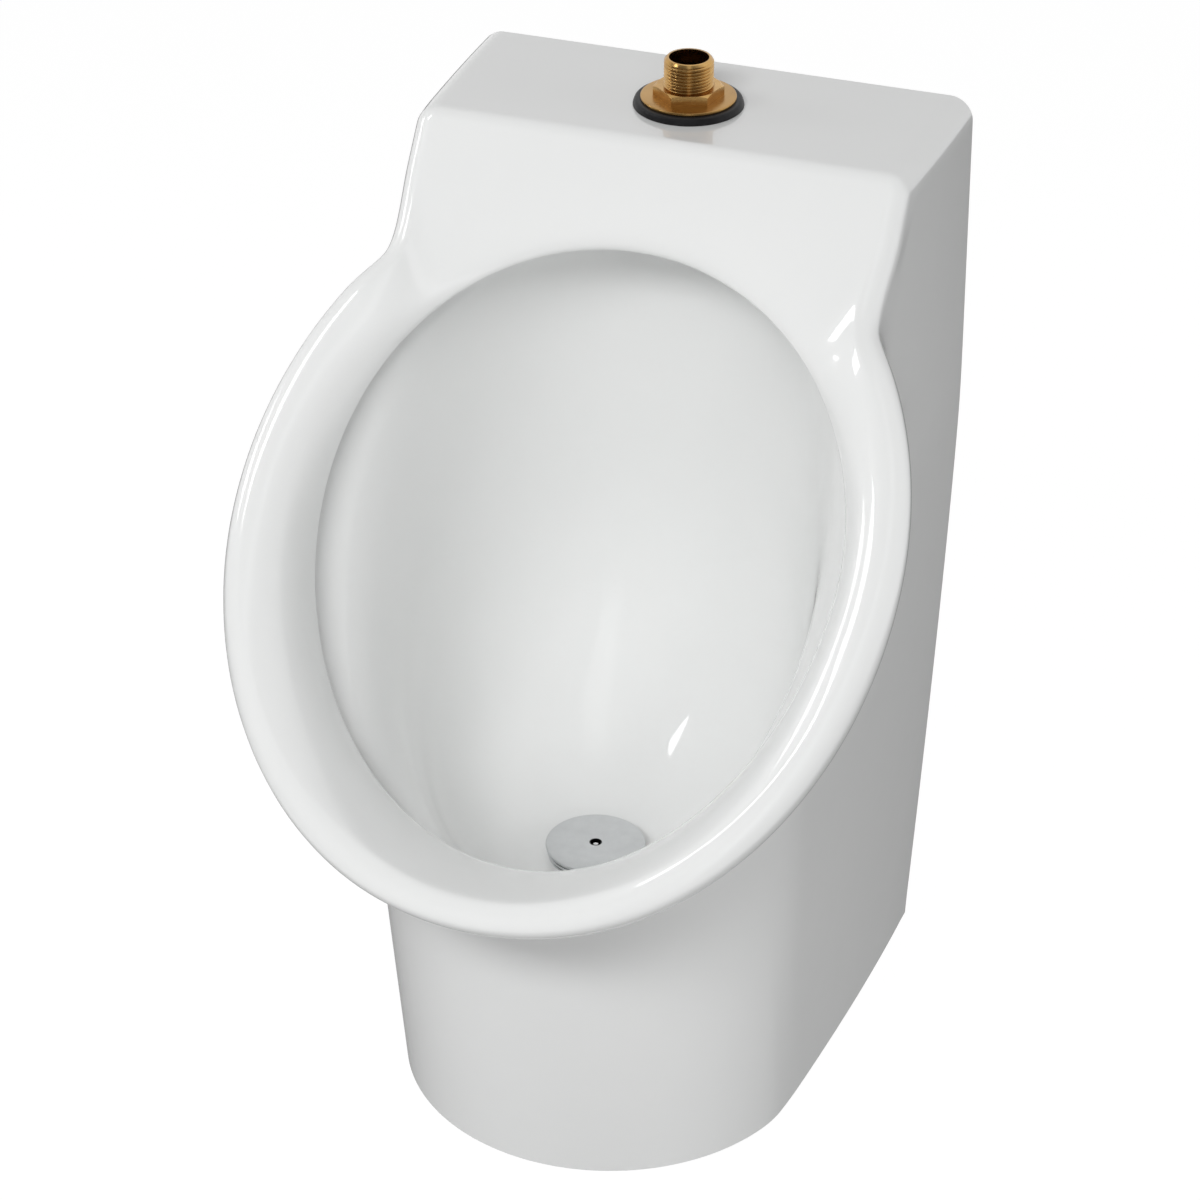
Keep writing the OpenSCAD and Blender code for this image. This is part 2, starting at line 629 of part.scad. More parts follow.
// Strainer: a base in the drain with a threaded bar, a slotted ring and a cover on it, and
// one screw through the middle
base_wall = 2;
base_flange_d = sieve_d - 1.6;
sieve_z = floor_z + sieve_t + seat;
cover_z = sieve_z + slot_h + sieve_t;
bar_w = 7;
bar_t = 8;
bar_drop = 14;
bar_z = floor_z - bar_drop;
boss_d = 12;
module at_drain(z) {
    translate([0, -drain_y, z]) children();
}
module strainer_base() {
    color(satin_steel) at_drain(0) difference() {
        union() {
            difference() {
                union() {
                    translate([0, 0, floor_z]) cylinder(d = base_flange_d, h = sieve_t);
                    translate([0, 0, bar_z]) cylinder(d = drain_d - 2 * loose, h = bar_drop + sieve_t / 2);
                }
                translate([0, 0, bar_z - past])
                    cylinder(d = drain_d - 2 * (loose + base_wall), h = bar_drop + sieve_t + 2 * past);
            }
            translate([base_wall - drain_d / 2, -bar_w / 2, bar_z])
                cube([drain_d - 2 * base_wall, bar_w, bar_t]);
            translate([0, 0, bar_z]) cylinder(d = boss_d, h = bar_t);
        }
        translate([0, 0, bar_z - past]) cylinder(d = screw_d + 2 * run, h = bar_t + 2 * past);
    }
}

// Ribs that hold two rings apart and leave the slots between them
rib_w = 3;
rib_in = 15;
rib_inset = 1;
module slot_rib_ring(z, d) {
    for (k = [0:slot_ribs - 1]) rotate([0, 0, (k + 0.5) * 360 / slot_ribs])
        translate([rib_in, -rib_w / 2, z]) cube([d / 2 - rib_inset - rib_in, rib_w, slot_h + sieve_t / 2]);
}
module strainer_slotted_ring() {
    color(satin_steel) at_drain(0) union() {
        slot_rib_ring(sieve_z, base_flange_d);
        difference() {
            translate([0, 0, sieve_z + slot_h]) cylinder(d = sieve_d, h = sieve_t);
            translate([0, 0, sieve_z]) cylinder(r = rib_in - rib_inset, h = slot_h + sieve_t + past);
        }
    }
}

cover_top = cover_z + slot_h + cover_t;
screw_head_h = 3;
screw_sunk = 0.8;
screw_end = 2;
module strainer_cover() {
    color(satin_steel) at_drain(0) difference() {
        union() {
            slot_rib_ring(cover_z, sieve_d);
            translate([0, 0, cover_z + slot_h]) rotate_extrude()
                polygon([[0, 0], [cover_d / 2 - 0.3, 0], [cover_d / 2, 0.4], [cover_d / 2, cover_t - 0.9],
                    [cover_d / 2 - 0.3, cover_t - 0.4], [cover_d / 2 - 1.4, cover_t - 0.1], [0, cover_t]]);
            translate([0, 0, sieve_z]) cylinder(d = boss_d, h = cover_top - sieve_z - cover_t / 2);
        }
        translate([0, 0, cover_top - screw_head_h - screw_sunk])
            cylinder(d = screw_head_d + 2 * run, h = screw_head_h + screw_sunk + past);
        translate([0, 0, sieve_z - past]) cylinder(d = screw_d + 2 * run, h = cover_top - sieve_z + past);
    }
}

module strainer_screw() {
    head_z = cover_top - screw_head_h - screw_sunk;
    color(bright_steel) at_drain(0) {
        translate([0, 0, bar_z - screw_end]) cylinder(d = screw_d, h = head_z - bar_z + screw_end + sunk);
        translate([0, 0, head_z]) rotate_extrude()
            polygon([[0, 0], [screw_head_d / 2, 0], [screw_head_d / 2, screw_head_h * 0.5],
                [screw_head_d * 0.4, screw_head_h * 0.8], [screw_head_d * 0.2, screw_head_h * 0.97],
                [0, screw_head_h]]);
    }
}

// Outlet: a rubber gasket and a threaded flange, bolted to the china's boss
flange_y = outlet_face - outlet_gasket_t;
waterway_d = drain_d + 4;
hub_outer_d = hub_d - 4;
module outlet_gasket() {
    color(black_rubber) translate([0, -flange_y, outlet_z]) rotate([90, 0, 0]) difference() {
        cylinder(d = hub_d, h = outlet_gasket_t);
        translate([0, 0, -past]) cylinder(d = waterway_d, h = outlet_gasket_t + 2 * past);
    }
}
module outlet_flange() {
    plate_y = flange_y - flange_t;
    color(cast_iron) difference() {
        union() {
            eared_plate(hub_d, plate_y, flange_t);
            translate([0, -hub_gap, outlet_z]) rotate([90, 0, 0])
                cylinder(d = hub_outer_d, h = plate_y - hub_gap + sunk);
        }
        translate([0, past, outlet_z]) rotate([90, 0, 0]) cylinder(d = waterway_d, h = flange_y + 2 * past);
        translate([0, past, outlet_z]) rotate([90, 0, 0])
            cylinder(d = outlet_thread_d, h = past + hub_gap + outlet_thread_l);
        at_bolts(plate_y - past) cylinder(d = bolt_d + 2 * loose, h = flange_t + 2 * past);
    }
}

washer_t = 1.6;
bolt_nut_h = 6.5;
bolt_head_t = 4.5;
bolt_head_w = 14.4;
bolt_end = 1.5;
washer_d = 16.8;
bolt_nut_d = 14.8;
washer_y = flange_y - flange_t - washer_t;
module outlet_bolts() {
    head_y = outlet_face + boss_t;
    low_y = washer_y - bolt_nut_h - bolt_end;
    color(bright_steel) {
        at_bolts(head_y) translate([-bolt_head_w / 2, -bolt_head_w / 2, 0])
            cube([bolt_head_w, bolt_head_w, bolt_head_t]);
        at_bolts(low_y) cylinder(d = bolt_d, h = head_y - low_y + sunk);
    }
}
module outlet_washers() {
    color(bright_steel) at_bolts(washer_y) difference() {
        cylinder(d = washer_d, h = washer_t);
        translate([0, 0, -past]) cylinder(d = bolt_d + 2 * run, h = washer_t + 2 * past);
    }
}
module outlet_nuts() {
    color(bright_steel) at_bolts(washer_y - bolt_nut_h) difference() {
        cylinder(d = bolt_nut_d, h = bolt_nut_h, $fn = 6);
        translate([0, 0, -past]) cylinder(d = bolt_d + 2 * run, h = bolt_nut_h + 2 * past);
    }
}

// Wall hanger: a bent steel strap, its plate against the wall and its tongue hooked up
// behind the lip of the china's pocket
module wall_hanger() {
    tongue_y = hook_lip + pocket_room;
    color(bright_steel) difference() {
        translate([-hanger_w / 2, 0, 0]) rotate([90, 0, 90]) linear_extrude(hanger_w)
            polygon([[0, rest_z - plate_h], [0, rest_z], [-tongue_y, rest_z],
                [-tongue_y, rest_z + hook_rise], [-tongue_y - hanger_t, rest_z + hook_rise],
                [-tongue_y - hanger_t, rest_z - hanger_t], [-hanger_t, rest_z - hanger_t],
                [-hanger_t, rest_z - plate_h]]);
        for (s = [-1, 1]) translate([0, past, rest_z - plate_h / 2 + s * hanger_hole_span / 2])
            rotate([90, 0, 0]) cylinder(d = hanger_hole_d, h = hanger_t + 2 * past);
    }
}
module wall_hanger_left() {
    translate([-hanger_span / 2, 0, 0]) wall_hanger();
}
module wall_hanger_right() {
    translate([hanger_span / 2, 0, 0]) wall_hanger();
}

china_body();
spud_tube();
spud_gasket();
spud_friction_ring();
spud_locknut();
strainer_base();
strainer_slotted_ring();
strainer_cover();
strainer_screw();
outlet_gasket();
outlet_flange();
outlet_bolts();
outlet_washers();
outlet_nuts();
wall_hanger_left();
wall_hanger_right();
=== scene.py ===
from functools import lru_cache
from math import sin, cos, tan, atan2, asin, sqrt, radians, degrees, pi, floor

import bmesh
import bpy
import numpy as np
from mathutils import Matrix, Vector


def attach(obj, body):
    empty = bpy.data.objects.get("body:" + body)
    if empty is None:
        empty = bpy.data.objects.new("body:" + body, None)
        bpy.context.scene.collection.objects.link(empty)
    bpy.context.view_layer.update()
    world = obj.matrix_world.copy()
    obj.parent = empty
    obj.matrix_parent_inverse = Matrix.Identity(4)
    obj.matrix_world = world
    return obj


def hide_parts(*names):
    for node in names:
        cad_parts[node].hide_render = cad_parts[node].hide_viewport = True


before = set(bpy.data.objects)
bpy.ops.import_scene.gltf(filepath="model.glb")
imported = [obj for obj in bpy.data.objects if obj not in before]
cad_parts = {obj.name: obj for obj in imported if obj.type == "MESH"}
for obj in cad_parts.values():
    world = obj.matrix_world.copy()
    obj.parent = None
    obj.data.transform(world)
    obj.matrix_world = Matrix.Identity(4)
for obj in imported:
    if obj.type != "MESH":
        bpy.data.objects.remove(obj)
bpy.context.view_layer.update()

# Camera: a long lens 20 degrees to the right of the middle plane, looking 31 degrees down
# on the upper column.
view_turn = 0.34945707
view_tilt = 0.54527924
view_reach = 2.041
view_aim = Vector((-0.01621, -0.150, 0.27648))
sight = Vector((-sin(view_turn) * cos(view_tilt), cos(view_turn) * cos(view_tilt), -sin(view_tilt)))
view_right = Vector((cos(view_turn), sin(view_turn), 0))
view_up = view_right.cross(sight)
camera_data = bpy.data.cameras.new("camera")
camera_data.lens = 112.5
camera_data.sensor_width = 36
camera_data.clip_start = 0.05
camera = bpy.data.objects.new("camera", camera_data)
camera.matrix_world = Matrix.Translation(view_aim - sight * view_reach) @ Matrix(
    (view_right, view_up, -sight)).transposed().to_4x4()
bpy.context.collection.objects.link(camera)
bpy.context.scene.camera = camera

# Studio: a white surround that shows as white behind the object and in its glaze, softer
# light from all round, and softboxes. Reflections also meet a pale upright strip above the
# camera, which the brass threads show as their bright line.
bpy.context.scene.view_settings.view_transform = "Standard"
fill_strength = 0.16
surround_front, surround_back = (-0.45, 0.22), (0.35, 1.0)
strip_edge, strip_core, strip_strength, strip_front = 0.18, 0.06, 0.85, -0.3
world = bpy.data.worlds.new("studio")
bpy.context.scene.world = world
world.use_nodes = True
sky = world.node_tree
sky.nodes.clear()


def sky_math(operation, first, second=None, clamped=False):
    step = sky.nodes.new("ShaderNodeMath")
    step.operation = operation
    step.use_clamp = clamped
    for socket, source in zip(step.inputs, (first, second)):
        if isinstance(source, float):
            socket.default_value = source
        elif source is not None:
            sky.links.new(source, socket)
    return step.outputs[0]


def sky_ramp(source, low, high):
    ramp = sky.nodes.new("ShaderNodeMapRange")
    ramp.interpolation_type = "SMOOTHSTEP"
    for end, (place, strength) in (("Min", low), ("Max", high)):
        ramp.inputs["From " + end].default_value = place
        ramp.inputs["To " + end].default_value = strength
    sky.links.new(source, ramp.inputs["Value"])
    return ramp.outputs["Result"]


rays = sky.nodes.new("ShaderNodeLightPath")
way = sky.nodes.new("ShaderNodeTexCoord")
way_parts = sky.nodes.new("ShaderNodeSeparateXYZ")
sky.links.new(way.outputs["Generated"], way_parts.inputs[0])
beside = sky.nodes.new("ShaderNodeVectorMath")
beside.operation = "DOT_PRODUCT"
beside.inputs[1].default_value = view_right
sky.links.new(way.outputs["Generated"], beside.inputs[0])
surround = sky_ramp(way_parts.outputs["Y"], surround_front, surround_back)
surround = sky_math("MAXIMUM", surround, rays.outputs["Is Camera Ray"])
strip = sky_ramp(sky_math("ABSOLUTE", beside.outputs["Value"]), (strip_edge, 0), (strip_core, strip_strength))
strip = sky_math("MULTIPLY", strip, sky_math("LESS_THAN", way_parts.outputs["Y"], strip_front))
strip = sky_math("MULTIPLY", strip, rays.outputs["Is Glossy Ray"])
seen = sky_math("ADD", rays.outputs["Is Camera Ray"], rays.outputs["Is Glossy Ray"], True)
seen = sky_math("ADD", seen, rays.outputs["Is Transmission Ray"], True)
fill = sky.nodes.new("ShaderNodeBackground")
fill.inputs["Color"].default_value = (1, 1, 1, 1)
fill.inputs["Strength"].default_value = fill_strength
white = sky.nodes.new("ShaderNodeBackground")
white.inputs["Color"].default_value = (1, 1, 1, 1)
blend = sky.nodes.new("ShaderNodeMixShader")
out = sky.nodes.new("ShaderNodeOutputWorld")
sky.links.new(sky_math("MAXIMUM", surround, strip), white.inputs["Strength"])
sky.links.new(seen, blend.inputs[0])
sky.links.new(fill.outputs[0], blend.inputs[1])
sky.links.new(white.outputs[0], blend.inputs[2])
sky.links.new(blend.outputs[0], out.inputs["Surface"])


def softbox(name, width, height, place, look_at, watts):
    data = bpy.data.lights.new(name, "AREA")
    data.shape = "RECTANGLE"
    data.size = width
    data.size_y = height
    data.energy = watts
    lamp = bpy.data.objects.new(name, data)
    lamp.location = place
    lamp.rotation_euler = (Vector(look_at) - Vector(place)).to_track_quat("-Z", "Y").to_euler()
    bpy.context.collection.objects.link(lamp)
    return lamp


middle = (0, -0.2, 0.28)
for name, width, height, place, watts in (
        ("key_left", 0.7, 0.4, (-0.374, -2.20, 1.98), 19),
        ("key_right", 0.7, 0.4, (0.374, -2.20, 1.98), 17.5),
        ("low_right", 0.8, 0.6, (1.019, -2.385, 1.254), 8.5),
        ("low_front", 0.8, 0.6, (-0.1, -2.60, 0.90), 3.5),
        ("far_left", 1.4, 1.1, (-2.502, -0.87, 0.507), 6.7),
        ("far_right", 1.4, 1.1, (2.522, 0.245, 0.731), 16)):
    softbox(name, width, height, place, middle, watts).visible_glossy = False
softbox("rim_light_right", 0.34, 0.40, (-1.29, -0.85, 1.87), middle, 3.4)
softbox("rim_light_left", 0.36, 0.42, (-1.97, -0.31, 1.22), middle, 2.6)

# Floor: pale and far below, as under a urinal on its wall. It shows white behind the object
# and still takes its shadow.
floor_half, floor_low = 4, -0.37
floor_mesh = bpy.data.meshes.new("floor")
floor_mesh.from_pydata([(x * floor_half, y * floor_half, floor_low)
                        for x, y in ((-1, -1), (1, -1), (1, 1), (-1, 1))], [], [(0, 1, 2, 3)])
floor_piece = bpy.data.objects.new("floor", floor_mesh)
bpy.context.collection.objects.link(floor_piece)
floor_paint = bpy.data.materials.new("pale_floor")
floor_paint.use_nodes = True
ground = floor_paint.node_tree
ground.nodes.clear()
floor_rays = ground.nodes.new("ShaderNodeLightPath")
floor_share = ground.nodes.new("ShaderNodeMath")
floor_share.operation = "MULTIPLY"
floor_share.inputs[1].default_value = 0.8
floor_matte = ground.nodes.new("ShaderNodeBsdfDiffuse")
floor_matte.inputs["Color"].default_value = (0.6, 0.6, 0.6, 1)
floor_glow = ground.nodes.new("ShaderNodeEmission")
floor_glow.inputs["Strength"].default_value = 1.20
floor_mix = ground.nodes.new("ShaderNodeMixShader")
floor_out = ground.nodes.new("ShaderNodeOutputMaterial")
ground.links.new(floor_rays.outputs["Is Camera Ray"], floor_share.inputs[0])
ground.links.new(floor_share.outputs[0], floor_mix.inputs[0])
ground.links.new(floor_matte.outputs[0], floor_mix.inputs[1])
ground.links.new(floor_glow.outputs[0], floor_mix.inputs[2])
ground.links.new(floor_mix.outputs[0], floor_out.inputs["Surface"])
floor_mesh.materials.append(floor_paint)

# China body: one casting of white vitreous china with a clear glaze. The skin is drawn from
# the flat top and sides round the rolled rim and over the lip into the bowl, in millimetres,
# and the hollow back, the flush chamber and the outlet horn are then cut out of it.
body_h = 533.4
widest_half, widest_z, base_half, top_half = 141.2, 363, 124.9, 139.5
side_draw, draw_bend, taper_bend = 3.6, 1.7, 1.3
top_depth, face_lean, top_corner_r, face_edge_r = 108.3, 36.8, 13, 11
base_depth, front_draft, bow_rise = 294.5, 0.107, 86.5
rim_half, rim_long, rim_lean, rim_y, rim_z, rim_r = 166, 196.3, 46.9, 254.1, 376.1, 12
lip_back, lip_dip, crown_lean, crown_front, under_side, under_front = 12, 13, 46, -11, 90, 64
mouth_half, mouth_top_y, mouth_top_z, mouth_front_y, mouth_front_z = 140.6, 134.7, 481.4, 332.4, 222.7
mouth_sink, mouth_splay = 10, 0.1
groove_deep, groove_long, groove_back = 7, 0.17, 0.4
sweep_out, sweep_tight, sweep_in = 34, 0.6, 30
roll_swell, rise_from, rise_to, rise_dip = 0.17, 38, 108, 0.4
curl_top, curl_side, curl_front = 10, 9, 5
mouth_egg, bowl_back_y, bowl_half, drain_y, floor_z, well_r = 0.05, 62, 106, 201.4, 146, 38
china_t, bottom_t, hollow_top = 10, 12, 402
n_top, n_corner, n_side, n_back, n_base, n_bow = 8, 6, 5, 9, 6, 14
s_corner = n_top
s_side = s_corner + n_corner
s_rim = s_side + n_side
s_base = s_rim + n_back
s_bow = s_base + n_base
s_front = s_bow + n_bow
a_corner, a_side, a_rim, notch_z = 29, 36, 47, 468
skin_from, notch_drop = 14, 14
rim_from, rim_over, tube_over = 40, 16, 44
turn_p, soft_p = 0.6, 0.03


def sind(a):
    return sin(radians(a))


def cosd(a):
    return cos(radians(a))


def vec(*v):
    return np.array(v, dtype=float)


def unit(v):
    return v / np.linalg.norm(v)


def mix(a, b, t):
    return a + (b - a) * t


def ease(t):
    return 0.0 if t <= 0 else 1.0 if t >= 1 else t * t * (3 - 2 * t)


def bez(a, b, c, d, t):
    return a * (1 - t) ** 3 + b * 3 * t * (1 - t) ** 2 + c * 3 * t * t * (1 - t) + d * t ** 3


def side_x(d, z):
    wide = (widest_half - (widest_half - base_half) * ((widest_z - z) / widest_z) ** taper_bend if z < widest_z
            else mix(widest_half, top_half, (z - widest_z) / (body_h - widest_z)))
    return wide - side_draw * (max(d, 0) / 100) ** draw_bend


def front_d(z):
    return base_depth + front_draft * z


def turn_d(z):
    return front_d(z) - bow_rise


def bow_r(z):
    c = side_x(turn_d(z), z)
    return (c * c + bow_rise * bow_rise) / (2 * bow_rise)


def bow_a(z):
    return degrees(asin(side_x(turn_d(z), z) / bow_r(z)))


def skin_raw(p, z):
    if p < turn_p:
        d = turn_d(z) * p / turn_p
        return vec(side_x(d, z), -d, z)
    a = bow_a(z) * (1 - p) / (1 - turn_p)
    r = bow_r(z)
    return vec(r * sind(a), -(front_d(z) - r + r * cosd(a)), z)


def skin(p, z):
    if abs(p - turn_p) >= soft_p:
        return skin_raw(p, z)
    t = (p - turn_p + soft_p) / (2 * soft_p)
    a, k, b = skin_raw(turn_p - soft_p, z), skin_raw(turn_p, z), skin_raw(turn_p + soft_p, z)
    return mix(mix(a, k, t), mix(k, b, t), t)


def oval_a(i):
    if i < s_corner:
        return a_corner * i / n_top
    if i < s_side:
        return mix(a_corner, a_side, (i - s_corner) / n_corner)
    if i < s_rim:
        return mix(a_side, a_rim, (i - s_side) / n_side)
    return mix(a_rim, 180, (i - s_rim) / (s_front - s_rim))


def rim_part(i):
    return ease((oval_a(i) - rim_from) / rim_over)


def front_part(i):
    return ((1 - cosd(oval_a(i))) / 2) ** 3


def top_turn(i):
    return 90 - 90 * (i - s_corner) / n_corner


def across(i, d, inset):
    z_c = body_h - top_corner_r
    x_c = side_x(d, z_c) - top_corner_r
    if i < s_corner:
        return x_c * i / n_top, body_h - inset
    if i < s_side:
        r = top_corner_r - inset
        return x_c + r * cosd(top_turn(i)), z_c + r * sind(top_turn(i))
    z = mix(z_c, notch_z, (i - s_side) / n_side)
    return side_x(d, z) - inset, z


def across_n(i):
    if i < s_corner:
        return vec(0, 0, 1)
    if i < s_side:
        return vec(cosd(top_turn(i)), 0, sind(top_turn(i)))
    return vec(1, 0, 0)


def face_d(z, inset):
    return top_depth + tan(radians(face_lean)) * (body_h - z) - inset / cosd(face_lean)


@lru_cache(None)
def rim_edge(i):
    a = oval_a(i)
    f = front_part(i)
    v = rim_long * cosd(a)
    return vec(rim_half * sind(a), -rim_y + v * sind(rim_lean) + lip_back * f,
               rim_z + v * cosd(rim_lean) - lip_dip * f)


@lru_cache(None)
def column_edge(i):
    x, z = across(min(i, s_rim), top_depth, face_edge_r)
    if i > s_rim:
        z = rim_edge(i)[2]
    d = face_d(z, face_edge_r)
    return vec(side_x(d, z) - face_edge_r if i > s_rim else x, -d, z)


@lru_cache(None)
def edge_c(i):
    return mix(column_edge(i), rim_edge(i), rim_part(i))


def tube_part(i):
    return ease((oval_a(i) - rim_from) / tube_over)


def edge_r(i):
    return mix(face_edge_r, rim_r, tube_part(i))


@lru_cache(None)
def crown(i):
    lean = mix(crown_lean, crown_front, front_part(i))
    side = vec(0, -cosd(90 - lean), sind(90 - lean))
    face = vec(0, -cosd(face_lean), sind(face_lean))
    return unit(mix(face, side, tube_part(i)))


@lru_cache(None)
def outward(i):
    a = oval_a(i)
    rim_n = unit(vec(sind(a) / rim_half, sind(rim_lean) * cosd(a) / rim_long,
                     cosd(rim_lean) * cosd(a) / rim_long))
    n = crown(i)
    o = unit(mix(across_n(min(i, s_rim)), rim_n, rim_part(i)))
    return o if rim_part(i) <= 0 else unit(o - n * (o @ n) * rim_part(i))


@lru_cache(None)
def mouth(i):
    a = oval_a(i)
    t = cosd(a)
    return vec(mouth_half * sind(a) * (1 + mouth_egg * t), -mix(mouth_front_y, mouth_top_y, (1 + t) / 2),
               mix(mouth_front_z, mouth_top_z, (1 + t) / 2)) + mouth_lift(i)


def mouth_lift(i):
    share = (1 + cosd(oval_a(i))) / 2
    return vec(0, -cosd(face_lean), sind(face_lean)) * mouth_sink * (share - share ** 3)


def mouth_dir(i):
    return unit(-crown(i) - outward(i) * mouth_splay * rim_part(i))


@lru_cache(None)
def landing(i):
    g = edge_c(i) - crown(i) * mix(under_side, under_front, front_part(i))
    z = g[2]
    d = -g[1]
    c = front_d(z) - bow_r(z)
    a = degrees(atan2(g[0], d - c))
    if d < turn_d(z):
        return np.array((turn_p * d / turn_d(z), z))
    return np.array((1 - (1 - turn_p) * min(a / bow_a(z), 1), z))


def wall_z(i):
    return mix(body_h - top_corner_r, notch_z - notch_drop, (i - s_side) / n_side)


def foot(i):
    if i < s_rim:
        return np.array((0.0, 0.0))
    if i < s_base:
        return np.array((0.0, mix(wall_z(s_rim), 0, (i - s_rim) / n_back)))
    if i < s_bow:
        return np.array((mix(0, turn_p, (i - s_base) / n_base), 0.0))
    return np.array((mix(turn_p, 1, (i - s_bow) / n_bow), 0.0))


@lru_cache(None)
def skin_path(i, t):
    if i <= s_side:
        d = mix(-edge_c(i)[1] - skin_from, 0, t)
        x, z = across(i, d, 0)
        return vec(x, -d, z)
    goal = landing(i)
    w = rim_part(i)
    if i < s_rim:
        low = skin(goal[0], goal[1])
        d = mix(mix(-edge_c(i)[1] - skin_from, -low[1], w), 0, t)
        z = mix(mix(across(i, 0, 0)[1], low[2], w), wall_z(i), t)
        return vec(side_x(d, z), -d, z)
    reach = mix(turn_p * (-edge_c(i)[1] - skin_from) / turn_d(goal[1]), goal[0], w)
    start = np.array((mix(reach, goal[0], min((i - s_rim) / 3, 1)), goal[1]))
    q = mix(start, foot(i), t)
    return skin(q[0], q[1])


def sweep_under(i, t):
    w = rim_part(i)
    q = edge_c(i) + outward(i) * edge_r(i)
    e = skin_path(i, 0)
    on = skin_path(i, 0.05)
    back = unit(mix(unit(e - q), -crown(i), w))
    h0 = mix(np.linalg.norm(e - q) / 3, sweep_out * (1 - sweep_tight * front_part(i)), w)
    h1 = mix(np.linalg.norm(e - q) / 3, sweep_in, w)
    return bez(q, q + back * h0, e - unit(on - e) * h1, e, t)


def roll_rise(i):
    a = oval_a(i)
    if not rise_from < a < rise_to:
        return 1
    return 1 - rise_dip * sind(180 * (a - rise_from) / (rise_to - rise_from)) ** 2


def roll(i, t):
    n = crown(i)
    o = outward(i)
    p = unit(mix(o, n, t) + (o + n) * roll_swell * sind(180 * t))
    return edge_c(i) + edge_r(i) * (p + n * (p @ n) * (roll_rise(i) - 1))


def band(i, t):
    n = crown(i)
    a = roll(i, 1)
    b = mouth(i)
    ab = unit(b - a)
    flat = unit(ab - n * (n @ ab))
    curl = mix(mix(curl_top, curl_side, rim_part(i)), curl_front, front_part(i))
    return bez(a, a + flat * np.linalg.norm(b - a) * 0.5, b - mouth_dir(i) * curl, b, t)


bowl_back = np.array([(-mouth_top_y, mouth_top_z)] + [
    (-mix(bowl_back_y, drain_y - well_r, y), mix(floor_z, mouth_top_z, z)) for y, z in (
        (0.552, 1.006), (0.217, 0.962), (0.04, 0.833), (0, 0.628), (0.04, 0.393), (0.237, 0.202),
        (0.621, 0.076), (1, 0))])
bowl_front = np.array([
    (-mix(drain_y + well_r, mouth_front_y, y), mix(floor_z, mouth_front_z, z)) for y, z in (
        (1, 1), (0.931, 0.821), (0.824, 0.652), (0.705, 0.495), (0.566, 0.352), (0.426, 0.235),
        (0.286, 0.143), (0.135, 0.052), (0, 0))])
bowl_side = np.array([mix(bowl_half, mouth_half, q) for q in (1, 0.96, 0.5, 0.2)]
                     + [mix(well_r, bowl_half, q) for q in (1, 0.882, 0.676, 0.368, 0)])


def cubic(p, t):
    n = len(p) - 1
    k = min(int(floor(t * n)), n - 1)
    u = t * n - k
    a, b = p[k], p[k + 1]
    m0 = (b - p[k - 1]) / 2 if k > 0 else b - a
    m1 = (p[k + 2] - a) / 2 if k < n - 1 else b - a
    return (a * (2 * u ** 3 - 3 * u * u + 1) + m0 * (u ** 3 - 2 * u * u + u)
            + b * (3 * u * u - 2 * u ** 3) + m1 * (u ** 3 - u * u))


def bowl_ring(i, s, grow):
    a = oval_a(i)
    b, f = cubic(bowl_back, s), cubic(bowl_front, s)
    h = (b - f) / 2
    m = (b + f) / 2 + h * (1 + grow / np.linalg.norm(h)) * cosd(a)
    ring = vec((cubic(bowl_side, s) + grow) * sind(a) * (1 + mouth_egg * (1 - s) * cosd(a)), m[0], m[1])
    return ring + mouth_lift(i) * (1 - s) ** 4


def undercut(i, s):
    ring = bowl_ring(i, s, 0)
    depth = groove_deep * sind(180 * min(s / groove_long, 1)) if s > 0 else 0
    return ring + outward(i) * depth * vec(1, groove_back, 1)


def closed_mesh(name, points, faces):
    mesh = bpy.data.meshes.new(name)
    mesh.from_pydata([tuple(p) for p in points], [], faces)
    mesh.validate()
    bm = bmesh.new()
    bm.from_mesh(mesh)
    bmesh.ops.recalc_face_normals(bm, faces=bm.faces)
    bm.to_mesh(mesh)
    bm.free()
    piece = bpy.data.objects.new(name, mesh)
    bpy.context.collection.objects.link(piece)
    return piece


def lofted(name, rings):
    m = len(rings[0])
    points = [p / 1000 for ring in rings for p in ring]
    faces = [(j * m + k, j * m + (k + 1) % m, (j + 1) * m + (k + 1) % m, (j + 1) * m + k)
             for j in range(len(rings) - 1) for k in range(m)]
    faces += [tuple(range(m)), tuple(range((len(rings) - 1) * m, len(rings) * m))]
    return closed_mesh(name, points, faces)


def placed(piece, place, way):
    turn = Matrix.Rotation(radians(90), 4, "X") if way == "-Y" else Matrix()
    piece.data.transform(Matrix.Translation(Vector(place) / 1000) @ turn)
    return piece


def turned(name, profile, place, way="Z", segments=64):
    points = [(r * cos(2 * pi * k / segments) / 1000, r * sin(2 * pi * k / segments) / 1000, h / 1000)
              for r, h in profile for k in range(segments)]
    faces = []
    for low in range(0, (len(profile) - 1) * segments, segments):
        for k in range(segments):
            after = (k + 1) % segments
            faces.append((low + k, low + after, low + segments + after, low + segments + k))
    faces += [tuple(range(segments)), tuple(range(len(points) - segments, len(points)))]
    return placed(closed_mesh(name, points, faces), place, way)


def block(name, low, high):
    (a, b, c), (d, e, f) = low, high
    points = [vec(x, y, z) / 1000 for z in (c, f) for x, y in ((a, b), (d, b), (d, e), (a, e))]
    return closed_mesh(name, points, [(0, 1, 2, 3), (4, 5, 6, 7), (0, 1, 5, 4), (1, 2, 6, 5), (2, 3, 7, 6),
                                      (3, 0, 4, 7)])


def shaped(piece, *steps):
    for kind, settings in steps:
        step = piece.modifiers.new(kind.lower(), kind)
        for key, value in settings.items():
            setattr(step, key, value)
    bpy.context.view_layer.update()
    ready = bpy.data.meshes.new_from_object(piece.evaluated_get(bpy.context.evaluated_depsgraph_get()))
    piece.modifiers.clear()
    old = piece.data
    piece.data = ready
    bpy.data.meshes.remove(old)
    return piece


